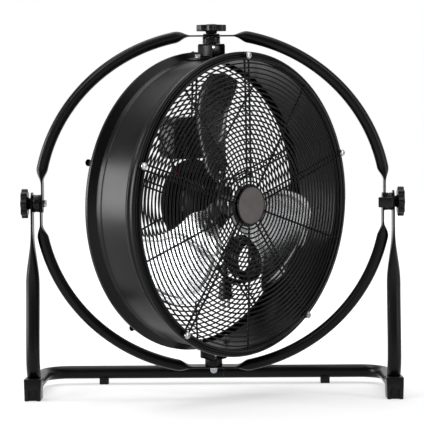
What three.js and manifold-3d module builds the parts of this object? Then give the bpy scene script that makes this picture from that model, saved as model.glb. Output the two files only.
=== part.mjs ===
// Drum fan on a tilting ring, held in a bent-tube stand. Millimetres, +Z up, floor at z = 0.
// The origin is the middle of the fan's footprint on the floor. X runs to the right and Y to the back.
import * as THREE from "three";
import { mergeVertices } from "three/addons/utils/BufferGeometryUtils.js";
import Module from "manifold-3d";

const wasm = await Module();
wasm.setup();

// ---- Driving dimensions ----
const pivotHeight = 348; // tilt axis above the floor
const pivotBack = 15.8; // tilt axis behind the middle of the footprint
const ringTilt = 0.059; // the ring leans forward at the top, in radians
const drumSwivel = 0.791; // the drum's front is turned to the right, in radians
const gap = 0.3; // running and assembly clearance

const stand = {
  tubeR: 12.2, wall: 1.5, stripX: 319.1, legX: 319.4, lean: -10, bendR: 55, cornerR: 48,
  barBack: 205, barRise: 22.4, seamX: 17, stripHalf: 1.5, stripWide: 19, stripTop: 20,
  flatEnd: -39, roundStart: -145,
};
const ring = {
  halfWide: 307, halfTall: 297, tubeR: 10.1, wall: 1.2, stripHalf: 1.3, stripWide: 15.5,
  sideOuter: 303.5, sideInner: 300.6, capFlat: 292.9,
};
const drum = {
  rimR: 265, barrelR: 254, wall: 1.5, mouthR: 250, front: -83.2, back: 38.2, screwR: 258.5,
  sides: 32,
};
const guard = { thick: 5, rimR: 263, bandR: 248, frontCrown: -4.5, backCrown: 9, wire: 3.4, pairPitch: 10 };
const screwAngles = [18, 90, 162, 234, 306]; // degrees round the drum, seen from the front
const spokeAngles = [54, 126, 198, 270, 342];
const bracket = { half: 17, deep: 34, sheet: 2.5, top: 279, flange: 45, boltX: 33 };
const bush = { r: 15.5, hole: 4.5 };
const knob = { r: 26, lobeDepth: 2.2, lobes: 8, head: 11.3, neck: 5.6, neckR: 11.5 };
const bolt = { r: 4, headR: 7.4, headTall: 5.5 };
const motor = { r: 52, front: -4, joint: 8, back: 52.1, plateR: 75, plateThick: 2.5, shaftR: 5 };
const hub = { r: 17, front: -40, back: -8, armReach: 60, armWide: 26, armThick: 3 };
const blade = { lift: -25, slope: 0.4, camber: 7, thick: 1.6, first: 95, rows: 12, columns: 5 };
const box = { halfWide: 42, low: 79, high: 150, base: 52.1, face: 88, wall: 2.2, lid: 3.5, corner: 12 };
const dial = { r: 17, tall: 15, centreZ: 116, spindleR: 3 };
const cord = { r: 3.5, pitch: 7.6, loops: 6.75, layers: 4, middleR: 35 };
const coil = { x: 150, z: -117, firstLayer: 54.2 };
const gland = { x: 22, y: 70, tip: 57 };
const plug = { relief: 36, body: [26, 22, 30] };
const tie = { wide: 6, thick: 1.4, front: 40.4, back: 83.4, low: -94.4, high: -64 };
const tubeSides = 10;
const boreSides = 6;

const backBarZ = stand.barRise - pivotHeight; // heights from here on are measured from the tilt axis
const floorZ = -pivotHeight;
const turn = 2 * Math.PI;
const rad = THREE.MathUtils.degToRad;
const v3 = (x, y, z) => new THREE.Vector3(x, y, z);
const v2 = (x, y) => new THREE.Vector2(x, y);

// ---- Finishes ----
const finish = (colour, roughness, metalness) =>
  new THREE.MeshStandardMaterial({ color: colour, roughness, metalness });
const blackPaint = () => finish(0x141415, 0.38, 0.3);
const blackPlastic = () => finish(0x222223, 0.55, 0);
const zinc = () => finish(0xb9bcc0, 0.35, 0.9);
const steel = () => finish(0x8d9094, 0.4, 0.9);
const aluminium = () => finish(0xc3c5c7, 0.35, 0.9);
const copper = () => finish(0xa8602f, 0.45, 0.8);
const badgeGrey = () => finish(0x4f4a4a, 0.4, 0.2);
const cordBlack = () => finish(0x18181a, 0.6, 0);

// ---- Solids ----
function solidOf(geometry) {
  const bare = geometry.clone();
  for (const name of Object.keys(bare.attributes)) if (name !== "position") bare.deleteAttribute(name);
  const merged = mergeVertices(bare, 1e-4);
  return new wasm.Manifold(
    new wasm.Mesh({
      numProp: 3,
      vertProperties: new Float32Array(merged.attributes.position.array),
      triVerts: new Uint32Array(merged.index.array),
    }),
  );
}

function geometryOf(solid) {
  const mesh = solid.getMesh();
  const geometry = new THREE.BufferGeometry();
  geometry.setAttribute("position", new THREE.BufferAttribute(mesh.vertProperties, 3));
  geometry.setIndex(new THREE.BufferAttribute(mesh.triVerts, 1));
  return geometry;
}

const cut = (base, ...tools) =>
  geometryOf(tools.reduce((left, tool) => left.subtract(solidOf(tool)), solidOf(base)));
const join = (base, ...more) =>
  geometryOf(more.reduce((all, piece) => all.add(solidOf(piece)), solidOf(base)));

// A rod along one axis, or between two points.
function rod(radius, from, to, sides = 10) {
  const length = from.distanceTo(to);
  const geometry = new THREE.CylinderGeometry(radius, radius, length, sides);
  const along = to.clone().sub(from).normalize();
  geometry.applyQuaternion(new THREE.Quaternion().setFromUnitVectors(v3(0, 1, 0), along));
  return geometry.translate(...from.clone().add(to).multiplyScalar(0.5).toArray());
}

const block = (x0, x1, y0, y1, z0, z1) =>
  new THREE.BoxGeometry(x1 - x0, y1 - y0, z1 - z0).translate((x0 + x1) / 2, (y0 + y1) / 2, (z0 + z1) / 2);

// A turned part about the Y axis: the profile is a list of [radius, y], closed by its own last edge.
function turned(profile, sides) {
  const first = profile[0];
  const onAxis = first[0] === 0;
  const points = profile.map(([r, y]) => v2(r, y));
  if (!onAxis) points.push(v2(...first));
  return facingOut(new THREE.LatheGeometry(points, sides));
}

// Turns a closed surface the right way out when its faces point inwards.
function facingOut(geometry) {
  const bare = new THREE.BufferGeometry();
  bare.setAttribute("position", geometry.getAttribute("position").clone());
  if (geometry.index) bare.setIndex(geometry.index.clone());
  const merged = mergeVertices(bare, 1e-4);
  const index = [...merged.index.array];
  const at = (i) => new THREE.Vector3().fromBufferAttribute(merged.attributes.position, i);
  const kept = [];
  let volume = 0;
  for (let i = 0; i < index.length; i += 3) {
    const [a, b, c] = index.slice(i, i + 3);
    if (a === b || b === c || c === a) continue;
    kept.push([a, b, c]);
    volume += at(a).dot(at(b).cross(at(c)));
  }
  merged.setIndex(kept.flatMap(([a, b, c]) => (volume < 0 ? [a, c, b] : [a, b, c])));
  return merged;
}

// A skin through a list of rings of points, all of one count, closed by a fan at each end.
function loft(rings) {
  const sides = rings[0].length;
  const points = rings.flat();
  const index = [];
  for (let i = 0; i + 1 < rings.length; i++)
    for (let k = 0; k < sides; k++) {
      const a = i * sides + k;
      const b = i * sides + ((k + 1) % sides);
      index.push(a, b, a + sides, b, b + sides, a + sides);
    }
  for (const [ringIndex, flip] of [[0, true], [rings.length - 1, false]]) {
    const start = ringIndex * sides;
    const centre = rings[ringIndex].reduce((s, p) => s.add(p), v3(0, 0, 0)).divideScalar(sides);
    const middle = points.push(centre) - 1;
    for (let k = 0; k < sides; k++) {
      const a = start + k;
      const b = start + ((k + 1) % sides);
      index.push(...(flip ? [b, a, middle] : [a, b, middle]));
    }
  }
  const geometry = new THREE.BufferGeometry();
  geometry.setAttribute("position", new THREE.Float32BufferAttribute(points.flatMap((p) => p.toArray()), 3));
  geometry.setIndex(index);
  return facingOut(geometry);
}

// One cross-section of a round tube that is pressed flat by the share flat, 0 to 1.
// thin is the direction that gets thinner and wide the one that spreads.
function tubeSection({ at, thin, wide, flat }, radius, stripHalf, stripWide, sides) {
  return Array.from({ length: sides }, (_, k) => {
    const angle = (turn * k) / sides;
    const c = Math.cos(angle);
    const s = Math.sin(angle);
    const across = THREE.MathUtils.lerp(radius * c, stripHalf * THREE.MathUtils.clamp(2 * c, -1, 1), flat);
    const along = THREE.MathUtils.lerp(radius * s, stripWide * s, flat);
    return at.clone().addScaledVector(thin, across).addScaledVector(wide, along);
  });
}

const ease = (t) => THREE.MathUtils.smoothstep(t, 0, 1);

// ---- Stand ----
// The centreline of one half of the stand: side is -1 on the left and 1 on the right.
function standPath(side) {
  const { stripX, legX, lean, bendR, cornerR, barBack, seamX, stripTop, flatEnd, roundStart } = stand;
  const stations = [];
  const add = (x, y, z, thin, wide, flat = 0, narrow = 1) =>
    stations.push({ at: v3(side * x, y, z), thin, wide, flat, narrow });
  const outX = v3(side, 0, 0);
  const back = v3(0, 1, 0);
  const roundedEnd = [[stripTop, 0.35], [17, 0.62], [10, 0.92], [0, 1]];
  for (const [z, narrow] of roundedEnd) add(stripX, 0, z, outX, back, 1, narrow);
  add(stripX, 0, flatEnd, outX, back, 1);
  const drop = backBarZ + bendR - roundStart;
  for (const t of [0.2, 0.4, 0.6, 0.8, 1]) {
    const z = THREE.MathUtils.lerp(flatEnd, roundStart, t);
    add(THREE.MathUtils.lerp(stripX, legX, t), 0, z, outX, back, 1 - ease(t));
  }
  add(legX, lean, roundStart + drop, outX, back);
  for (let i = 1; i <= 6; i++) {
    const a = (i / 6) * (Math.PI / 2);
    const y = lean + bendR * (1 - Math.cos(a));
    const z = backBarZ + bendR * (1 - Math.sin(a));
    add(legX, y, z, outX, v3(0, Math.cos(a), Math.sin(a)));
  }
  for (let i = 0; i <= 6; i++) {
    const a = (i / 6) * (Math.PI / 2);
    const x = legX - cornerR * (1 - Math.cos(a));
    const y = barBack - cornerR * (1 - Math.sin(a));
    add(x, y, backBarZ, v3(side * Math.cos(a), Math.sin(a), 0), v3(0, 0, 1));
  }
  add(side * seamX + (side > 0 ? gap : 0), barBack, backBarZ, back, v3(0, 0, 1));
  return stations;
}

function standTube(side) {
  const path = standPath(side);
  const { tubeR, wall, stripHalf, stripWide } = stand;
  const outer = path.map((s) => tubeSection(s, tubeR, stripHalf, stripWide * s.narrow, tubeSides));
  const round = path.filter((s) => s.flat === 0);
  const last = round.at(-1);
  const pastEnd = { ...last, at: last.at.clone().add(v3(-side * 2, 0, 0)) };
  const inner = [...round, pastEnd].map((s) => tubeSection(s, tubeR - wall, 0, 0, boreSides));
  const hole = rod(bolt.r + gap, v3(side * 310, 0, 0), v3(side * 330, 0, 0));
  return cut(loft(outer), loft(inner), hole);
}

// A moulded shoe under each front bend, with an arched recess in its front.
function frontFoot(side) {
  const { legX, tubeR } = stand;
  const halfLow = 14;
  const halfHigh = 15.5;
  const tall = 39;
  const corners = [[-halfLow, 0], [halfLow, 0], [halfHigh, tall], [-halfHigh, tall]];
  const outline = new THREE.Shape(corners.map((p) => v2(...p)));
  const shoe = new THREE.ExtrudeGeometry(outline, { depth: 40, bevelEnabled: false });
  shoe.rotateX(Math.PI / 2).translate(side * legX, 15, floorZ);
  const arch = new THREE.Shape();
  arch.moveTo(-8, -1).lineTo(8, -1).lineTo(8, 12).absarc(0, 12, 8, 0, Math.PI, false).lineTo(-8, -1);
  const recess = new THREE.ExtrudeGeometry(arch, { depth: 6, bevelEnabled: false, curveSegments: 5 });
  recess.rotateX(Math.PI / 2).translate(side * legX, -21.5, floorZ);
  const bend = standPath(side).filter((s) => s.flat === 0).slice(0, 9);
  const channel = loft(bend.map((s) => tubeSection(s, tubeR + gap, 0, 0, tubeSides)));
  return cut(shoe, recess, channel);
}

function rearPad(side) {
  const padX = side * 209;
  const saddle = block(padX - 9, padX + 9, stand.barBack - 11, stand.barBack + 11, floorZ, backBarZ - 7);
  const barAt = (x) => v3(x, stand.barBack, backBarZ);
  const bar = rod(stand.tubeR + gap, barAt(padX - 12), barAt(padX + 12), 24);
  return cut(saddle, bar);
}

// ---- Pivot hardware, made along +Z from z = 0 ----
const onZ = (geometry) => geometry.rotateX(Math.PI / 2);

function plainBush(length) {
  const { r, hole } = bush;
  return onZ(turned([[hole, 0], [r, 0], [r, length], [hole, length]], 18));
}

// A hex-headed bolt: the head ends at z = 0 and the shank runs up to z = length.
function hexBolt(length) {
  const head = new THREE.CylinderGeometry(bolt.headR, bolt.headR, bolt.headTall, 6);
  head.rotateX(Math.PI / 2).translate(0, 0, -bolt.headTall / 2);
  return join(head, rod(bolt.r, v3(0, 0, -1), v3(0, 0, length)));
}

// The lobed hand knob: its neck starts at z = 0 and its face is a low dome.
function handKnob() {
  const { r, lobeDepth, lobes, head, neck, neckR } = knob;
  const perLobe = 4;
  const rim = Array.from({ length: lobes * perLobe }, (_, i) => {
    const a = (turn * i) / (lobes * perLobe);
    const reach = r - lobeDepth * (0.5 - 0.5 * Math.cos(lobes * a));
    return v2(reach * Math.cos(a), reach * Math.sin(a));
  });
  const disc = new THREE.ExtrudeGeometry(new THREE.Shape(rim), {
    depth: head - 2, bevelEnabled: true, bevelThickness: 1, bevelSize: 1, bevelOffset: -1, bevelSegments: 1,
  }).translate(0, 0, neck + 1);
  const top = neck + head;
  const collar = onZ(turned([[0, 0], [neckR - 1.5, 0], [neckR, neck + 2], [0, neck + 2]], 16));
  const dome = onZ(turned([[0, top - 2], [14, top - 2], [12, top + 0.8], [0, top + 1.6]], 16));
  return cut(join(disc, collar, dome), rod(bolt.r + gap, v3(0, 0, -1), v3(0, 0, neck + 7)));
}

// ---- Ring ----
// Place and flatness of the ring's centreline at an angle from the right-hand pivot.
function ringStation(angle, rightX, leftX) {
  const { halfWide, halfTall, capFlat } = ring;
  const ex = halfWide * Math.cos(angle);
  const ez = halfTall * Math.sin(angle);
  const sideFlat = ease(1 - (Math.abs(ez) - 34) / 28);
  const capShare = ease(1 - (Math.abs(ex) - 45) / 28);
  const x = THREE.MathUtils.lerp(ex, ex > 0 ? rightX : -leftX, sideFlat);
  const z = THREE.MathUtils.lerp(ez, Math.sign(ez) * capFlat, capShare);
  const out = v3(Math.cos(angle), 0, Math.sin(angle));
  if (sideFlat > 0.5) out.set(Math.sign(ex), 0, 0);
  if (capShare > 0.5) out.set(0, 0, Math.sign(ez));
  return { at: v3(x, 0, z), thin: out, wide: v3(0, 1, 0), flat: Math.max(sideFlat, capShare) };
}

// Half of the ring: half is 1 for the upper hoop and -1 for the lower one.
function hoop(half, rightX, leftX) {
  const endAngles = [
    [-3.1, 0.35], [-2.7, 0.65], [-1.8, 0.92], [0, 1], [6.4, 1], [8.4, 1], [10.4, 1], [12.4, 1],
  ];
  const capAngles = [76, 78.6, 81.4, 90, 98.6, 101.4, 104];
  const arcAngles = Array.from({ length: 6 }, (_, i) => 21 + 9.4 * i);
  const degrees = [
    ...endAngles, ...arcAngles.map((a) => [a, 1]), ...capAngles.map((a) => [a, 1]),
    ...arcAngles.map((a) => [180 - a, 1]).reverse(), ...endAngles.map(([a, n]) => [180 - a, n]).reverse(),
  ];
  const { tubeR, wall, stripHalf, stripWide } = ring;
  const station = (a) => ringStation(half * rad(a), rightX, leftX);
  const outer = degrees.map(([a, n]) => tubeSection(station(a), tubeR, stripHalf, stripWide * n, tubeSides));
  const bores = [[13.4, 74.8], [105.2, 166.6]].map(([from, to]) => {
    const steps = Array.from({ length: 7 }, (_, i) => station(THREE.MathUtils.lerp(from, to, i / 6)));
    return loft(steps.map((s) => tubeSection(s, tubeR - wall, 0, 0, boreSides)));
  });
  const drains = [21, 159].map((a) => {
    const { at, thin } = station(a);
    return rod(2, at, at.clone().addScaledVector(thin, -tubeR - 3), 6);
  });
  const holes = [
    rod(bolt.r + gap, v3(-320, 0, 0), v3(-290, 0, 0)),
    rod(bolt.r + gap, v3(290, 0, 0), v3(320, 0, 0)),
    rod(bolt.r + gap, v3(0, 0, half * 280), v3(0, 0, half * 305)),
  ];
  return cut(loft(outer), ...bores, ...drains, ...holes);
}

// The small rounded block against the front edges of the ring's flats at the right-hand pivot.
function pivotClip() {
  const thick = 9;
  const half = [13, 9];
  const shape = new THREE.Shape();
  shape.absarc(half[0] - 4, half[1] - 4, 4, 0, Math.PI / 2, false);
  shape.absarc(4 - half[0], half[1] - 4, 4, Math.PI / 2, Math.PI, false);
  shape.absarc(4 - half[0], 4 - half[1], 4, Math.PI, 1.5 * Math.PI, false);
  shape.absarc(half[0] - 4, 4 - half[1], 4, 1.5 * Math.PI, turn, false);
  const made = new THREE.ExtrudeGeometry(shape, { depth: thick, bevelEnabled: false, curveSegments: 3 });
  const middleX = stand.stripX - stand.stripHalf - gap - half[0];
  return made.rotateX(Math.PI / 2).translate(middleX, -ring.stripWide - gap, 0);
}

// A domed hex nut over the end of a bolt.
function domeNut() {
  const body = turned([[0, 0], [7.2, 0], [7.2, 5], [4.6, 9.6], [0, 11.2]], 6);
  return onZ(cut(body, rod(bolt.r + 2 * gap, v3(0, -1, 0), v3(0, 9, 0), 12)));
}

// ---- Drum ----
// Here Y is the drum's own axis: its front is at the most negative Y.
function drumShell() {
  const { rimR, barrelR, wall, mouthR, front, back, screwR } = drum;
  const in1 = barrelR - wall;
  const shell = turned([
    [mouthR, front], [rimR, front], [rimR, front + 6.2], [barrelR, front + 13.2], [barrelR, -61],
    [barrelR + 2.5, -57.5], [barrelR, -54], [barrelR, 20], [rimR, 31], [rimR, back], [mouthR, back],
    [mouthR, back - wall], [rimR - wall, back - wall], [rimR - wall, 31.6], [in1, 20.6], [in1, front + 13.8],
    [rimR - wall, front + 6.8], [rimR - wall, front + wall], [mouthR, front + wall],
  ], drum.sides);
  const guardHoles = screwAngles.flatMap((a) => {
    const [x, z] = [screwR * Math.cos(rad(a)), screwR * Math.sin(rad(a))];
    return [[front - 1, front + 4], [back - 4, back + 1]].map(([y0, y1]) =>
      rod(2.2, v3(x, y0, z), v3(x, y1, z), 6));
  });
  const boltHoles = [-1, 1].flatMap((up) => [-1, 1].map((side) => {
    const out = bracketBoltLine(side, up);
    return rod(3.6, out.clone().multiplyScalar(246), out.clone().multiplyScalar(258), 6);
  }));
  return cut(shell, ...guardHoles, ...boltHoles);
}

// The direction from the drum's axis through one bracket bolt.
const bracketBoltLine = (side, up) => v3(side * bracket.boltX, 0, up * 252.3).normalize();

// A hat-shaped strap on the drum, top (up = 1) or bottom (up = -1), open at the front and back.
function pivotBracket(up) {
  const { half, deep, sheet, top, flange } = bracket;
  const foot = drum.barrelR + gap;
  const slope = 0.1214;
  const out = (x) => foot - slope * (x - half);
  const right = [
    [half - sheet, top - sheet], [half - sheet, foot + 0.3], [flange, out(flange)],
    [flange, out(flange) + sheet], [half, foot + sheet], [half, top - 2], [half - 2, top],
  ];
  const left = right.map(([x, z]) => [-x, z]).reverse();
  const strap = new THREE.ExtrudeGeometry(new THREE.Shape([...right, ...left].map(([x, z]) => v2(x, z))), {
    depth: deep, bevelEnabled: false,
  });
  strap.rotateX(Math.PI / 2).translate(0, deep / 2, 0);
  const bolts = [-1, 1].map((side) => {
    const line = bracketBoltLine(side, 1);
    return rod(3.6, line.clone().multiplyScalar(246), line.clone().multiplyScalar(262), 6);
  });
  const made = cut(strap, rod(bolt.r + gap, v3(0, 0, top - 8), v3(0, 0, top + 4)), ...bolts);
  return up > 0 ? made : made.rotateX(Math.PI);
}

// A flanged screw through a bracket's foot and the barrel, along +Z from the bracket's face.
const bracketScrew = () =>
  onZ(turned([[0, -11], [3, -11], [3, 0], [6.5, 0], [6.5, 1.2], [5.4, 1.2], [5.4, 5], [0, 5.4]], 8));

// A round-headed screw along Y: its head stands out towards -Y.
function panScrew() {
  return turned([[0, 6.5], [1.8, 6.5], [1.8, 0], [4.6, 0], [3.6, -2.3], [0, -2.9]], 8);
}

// A wheel-shaped grille, cut from one round plate: rings, single spokes and pairs of spokes.
function grille(rings, coreR, coreHole, crown) {
  const { thick, rimR, bandR, wire, pairPitch } = guard;
  const atAngle = (r, a) => v2(r * Math.cos(a), r * Math.sin(a));
  const circle = (r, steps) => Array.from({ length: steps }, (_, i) => atAngle(r, (turn * i) / steps));
  const plate = new THREE.Shape(circle(rimR, 40));
  const bounds = [coreR, ...rings, bandR + wire / 2];
  const pairs = screwAngles.map((a) => [a, (pairPitch + wire) / 2]);
  const singles = spokeAngles.map((a) => [a, wire / 2]);
  const directions = [...pairs, ...singles].sort((p, q) => p[0] - q[0]);
  for (let i = 0; i + 1 < bounds.length; i++) {
    const [low, high] = [bounds[i] + wire / 2, bounds[i + 1] - wire / 2];
    directions.forEach(([a, half], k) => {
      const [b, nextHalf] = directions[(k + 1) % directions.length];
      const end = b > a ? b : b + 360;
      const span = (r) => [rad(a) + Math.asin(half / r), rad(end) - Math.asin(nextHalf / r)];
      const steps = 2;
      const arc = (r) => {
        const [from, to] = span(r);
        const share = (j) => THREE.MathUtils.lerp(from, to, j / steps);
        return Array.from({ length: steps + 1 }, (_, j) => atAngle(r, share(j)));
      };
      plate.holes.push(new THREE.Path([...arc(low), ...arc(high).reverse()]));
    });
    for (const a of screwAngles) {
      const half = (pairPitch - wire) / 2;
      const corners = [[low, -half], [high, -half], [high, half], [low, half]];
      const axis = rad(a);
      plate.holes.push(new THREE.Path(corners.map(([u, w]) =>
        v2(u * Math.cos(axis) - w * Math.sin(axis), u * Math.sin(axis) + w * Math.cos(axis)))));
    }
  }
  for (const a of screwAngles) {
    const at = atAngle(drum.screwR, rad(a));
    plate.holes.push(new THREE.Path(circle(2.2, 6).map((p) => p.add(at))));
  }
  if (coreHole) plate.holes.push(new THREE.Path(circle(coreHole, 24)));
  const geometry = new THREE.ExtrudeGeometry(plate, { depth: thick, bevelEnabled: false });
  geometry.rotateX(Math.PI / 2);
  const place = geometry.attributes.position;
  for (let i = 0; i < place.count; i++) {
    const r = Math.hypot(place.getX(i), place.getZ(i));
    place.setY(i, place.getY(i) + crown * (1 - (r / rimR) ** 2));
  }
  return geometry;
}

const badge = () => turned([[0, 0], [34, 0], [34, -2.2], [32.5, -3.2], [0, -3.2]], 30);

// ---- Motor ----
function motorCan() {
  const { r, joint, back } = motor;
  return turned([[0, back], [r - 3, back], [r, back - 3], [r, joint], [r - 2, joint], [r - 2, back - 2.5],
    [17, back - 2.5], [17, 42], [13.3, 42], [13.3, back - 2.5], [0, back - 2.5]], 24);
}

function motorCover() {
  const { r, front, joint } = motor;
  return turned([
    [7, front], [44, front], [r, front + 5], [r, joint - gap], [r - 2, joint - gap], [r - 2, front + 6],
    [43, front + 2.5], [17, front + 2.5], [17, 6], [13.3, 6], [13.3, front + 2.5], [7, front + 2.5],
  ], 24);
}

const sleeve = (inner, outer, y0, y1, sides = 18) =>
  turned([[inner, y0], [outer, y0], [outer, y1], [inner, y1]], sides);

function motorPlate() {
  const front = motor.back + gap;
  const back = front + motor.plateThick;
  return turned([[0, front], [motor.plateR, front], [motor.plateR, back], [0, back]], 36);
}

// ---- Fan wheel ----
// In the blade's frame X runs outwards, Z runs along the rim and Y points to the back of the drum.
const bladeDepth = (u, v, across) => {
  const rise = ease((u - hub.armReach - 4) / 60);
  return blade.lift - blade.slope * v + blade.camber * rise * (1 - (2 * across - 1) ** 2);
};

function fanBlade() {
  const trailing = new THREE.SplineCurve(
    [[34, 12], [64, 50], [104, 68], [156, 77], [188, 68], [213, 44], [228.5, 8]].map((p) => v2(...p)));
  const leading = new THREE.SplineCurve(
    [[34, -12], [64, -26], [108, -30], [154, -48], [186, -84], [205, -94], [224, -50]].map((p) => v2(...p)));
  const { rows, columns, thick } = blade;
  const rings = Array.from({ length: rows + 1 }, (_, i) => {
    const from = leading.getPoint(i / rows);
    const to = trailing.getPoint(i / rows);
    const row = Array.from({ length: columns + 1 }, (_, j) => {
      const p = from.clone().lerp(to, j / columns);
      return v3(p.x, bladeDepth(p.x, p.y, j / columns), p.y);
    });
    const behind = row.map((p) => p.clone().add(v3(0, thick, 0))).reverse();
    return [...row, ...behind];
  });
  return loft(rings);
}

function fanHub() {
  const { r, front, back, armReach, armWide, armThick } = hub;
  const collar = sleeve(motor.shaftR + gap, r, front, back);
  const pitch = Math.atan(blade.slope);
  const arms = [0, 1, 2].map((k) => {
    const arm = block(r - 5, armReach, -armThick / 2, armThick / 2, -armWide / 2, armWide / 2);
    arm.rotateX(pitch).translate(0, blade.lift + blade.thick + (armThick / 2 + gap) / Math.cos(pitch), 0);
    return arm.rotateY(-rad(blade.first + 120 * k));
  });
  return cut(join(collar, ...arms), rod(motor.shaftR + gap, v3(0, front - 2, 0), v3(0, back + 2, 0), 16));
}

function hubNut() {
  const body = turned([[0, 0], [9.5, 0], [9.5, -7], [0, -7]].reverse(), 6);
  return cut(body, rod(motor.shaftR + 2 * gap, v3(0, -9, 0), v3(0, 2, 0), 12));
}

// ---- Switch box on the back ----
function roundedPlate(halfWide, low, high, corner) {
  const shape = new THREE.Shape();
  shape.moveTo(-halfWide, low + 3).lineTo(-halfWide, high - corner);
  shape.absarc(-halfWide + corner, high - corner, corner, Math.PI, Math.PI / 2, true);
  shape.absarc(halfWide - corner, high - corner, corner, Math.PI / 2, 0, true);
  shape.lineTo(halfWide, low + 3).lineTo(halfWide - 3, low).lineTo(-halfWide + 3, low);
  return shape;
}

const slab = (shape, y0, y1) =>
  new THREE.ExtrudeGeometry(shape, { depth: y1 - y0, bevelEnabled: false, curveSegments: 5 })
    .rotateX(Math.PI / 2).translate(0, y1, 0);

function switchBox() {
  const { halfWide, low, high, base, face, wall, corner } = box;
  const outer = slab(roundedPlate(halfWide, low, high, corner), base, face);
  const hollow = roundedPlate(halfWide - wall, low + wall, high - wall, corner - wall);
  const shell = cut(outer, slab(hollow, base + wall, face + 2));
  const glandAt = (z) => v3(gland.x, gland.y, z);
  return cut(join(shell, cordSleeve()), rod(cord.r + 2 * gap, glandAt(gland.tip - 2), glandAt(low + 5), 12));
}

function switchLid() {
  const { halfWide, low, high, face, lid, corner } = box;
  const plate = slab(roundedPlate(halfWide, low, high, corner), face + gap, face + gap + lid);
  const dialAt = (y) => v3(0, y, dial.centreZ);
  return cut(plate, rod(dial.spindleR + 2 * gap, dialAt(face - 2), dialAt(face + 8), 12));
}

// The dial turns about Y: a skirted knob with a finger bar, on a spindle that reaches through the lid.
function speedDial() {
  const start = box.face + gap + box.lid + gap;
  const { r, tall, spindleR } = dial;
  const body = turned([[0, start], [r, start], [r, start + 4], [r - 2.5, start + 6], [0, start + 6]], 24);
  const bar = block(-3.5, 3.5, start + 4, start + tall, -r + 3, r - 3);
  const spindle = rod(spindleR, v3(0, box.face - 5, 0), v3(0, start + 2, 0), 10);
  return join(body, bar, spindle);
}

// The cord's bend relief, moulded on the underside of the box.
function cordSleeve() {
  const { x, y, tip } = gland;
  const length = box.low - tip + 1;
  const profile = [[0, 0], [5, 0], [6.4, 14], [8, 14], [8, length], [0, length]];
  return onZ(turned(profile, 14)).translate(x, y, tip);
}

// ---- Cord ----
// The lead hangs from the gland, crosses behind the motor plate and enters the coil from below.
const leadEndX = coil.x - 2 * cord.r - gap;
function coilRadii() {
  const spread = (cord.pitch * cord.loops) / cord.layers / 2;
  return { inner: cord.middleR - spread, outer: cord.middleR + spread };
}
const coilLowZ = coil.z - coilRadii().outer;

const leadRoute = [
  [gland.x, gland.y, gland.tip - gap], [gland.x, gland.y, gland.tip - 15], [23, 69.5, 22], [26, 68.5, 0],
  [30.5, 67, -24], [36.5, 64.8, -50], [44, 62, -76], [54, 59, -101], [66, 56.6, -123], [81, 55, -141],
  [99, 54.3, -153.5],
].map((p) => v3(...p)).concat([118, 130, leadEndX].map((x) => v3(x, coil.firstLayer, coilLowZ)));

function sweep(points, steps, sides) {
  const curve = new THREE.CatmullRomCurve3(points);
  const section = new THREE.Shape(Array.from({ length: sides }, (_, k) => {
    const a = (turn * k) / sides;
    return v2(cord.r * Math.cos(a), cord.r * Math.sin(a));
  }));
  return facingOut(new THREE.ExtrudeGeometry(section, { extrudePath: curve, steps, bevelEnabled: false }));
}

// The coil's centreline: it spirals in and out through its layers, climbing in the half turn
// where the spiral reverses. It starts at the bottom, heading to +X, and ends on the left, heading down.
function coilRoute(stepsPerLoop) {
  const { pitch, loops, layers } = cord;
  const { inner, outer } = coilRadii();
  const perLayer = loops / layers;
  const total = Math.round(loops * stepsPerLoop);
  const climb = 0.25 / perLayer; // a quarter turn each side of a reversal, as a share of a layer
  const points = Array.from({ length: total + 1 }, (_, i) => {
    const layerPlace = i / stepsPerLoop / perLayer;
    const layer = Math.min(Math.floor(layerPlace), layers - 1);
    const share = layerPlace - layer;
    const r = layer % 2 === 0 ? outer - (outer - inner) * share : inner + (outer - inner) * share;
    let height = layer;
    if (share > 1 - climb && layer < layers - 1) height += (share - 1 + climb) / (2 * climb);
    if (share < climb && layer > 0) height -= (climb - share) / (2 * climb);
    const a = -Math.PI / 2 + (turn * i) / stepsPerLoop;
    return v3(coil.x + r * Math.cos(a), coil.firstLayer + pitch * height, coil.z + r * Math.sin(a));
  });
  const first = points[0];
  const last = points.at(-1);
  return [
    v3(first.x - 2 * cord.r, first.y, first.z), ...points, v3(last.x, last.y, last.z - 2 * cord.r),
  ];
}

// The coil as one unbroken tube with a six-sided section, square at both ends.
function coiledCord() {
  const route = coilRoute(24);
  const sides = 6;
  const axis = v3(0, 1, 0);
  const rings = route.map((p, i) => {
    const before = route[Math.max(i - 1, 0)];
    const after = route[Math.min(i + 1, route.length - 1)];
    const along = after.clone().sub(before).normalize();
    const out = along.clone().cross(axis).normalize();
    const up = out.clone().cross(along).normalize();
    return Array.from({ length: sides }, (_, k) => {
      const a = (turn * (k + 0.5)) / sides;
      return p.clone().addScaledVector(out, cord.r * Math.cos(a)).addScaledVector(up, cord.r * Math.sin(a));
    });
  });
  return loft(rings);
}

// Least distance between stretches of the coil that are more than a third of a loop apart, less the cord.
function coilSelfGap() {
  const route = coilRoute(72);
  let least = Infinity;
  for (let i = 0; i < route.length; i++)
    for (let j = i + 24; j < route.length; j++) least = Math.min(least, route[i].distanceTo(route[j]));
  return least - 2 * cord.r;
}

// A flat strap round the coil's upper side and one ring of the back grille.
function cordTie() {
  const { wide, thick, front, back, low, high } = tie;
  const frame = (y0, y1, z0, z1) => [v2(y0, z0), v2(y1, z0), v2(y1, z1), v2(y0, z1)];
  const strap = new THREE.Shape(frame(front, back, low, high));
  strap.holes.push(new THREE.Path(frame(front + thick, back - thick, low + thick, high - thick)));
  const geometry = new THREE.ExtrudeGeometry(strap, { depth: wide, bevelEnabled: false });
  const toDrum = new THREE.Matrix4().makeBasis(v3(0, 1, 0), v3(0, 0, 1), v3(1, 0, 0));
  return geometry.applyMatrix4(toDrum).translate(coil.x - wide / 2, 0, 0);
}

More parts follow.
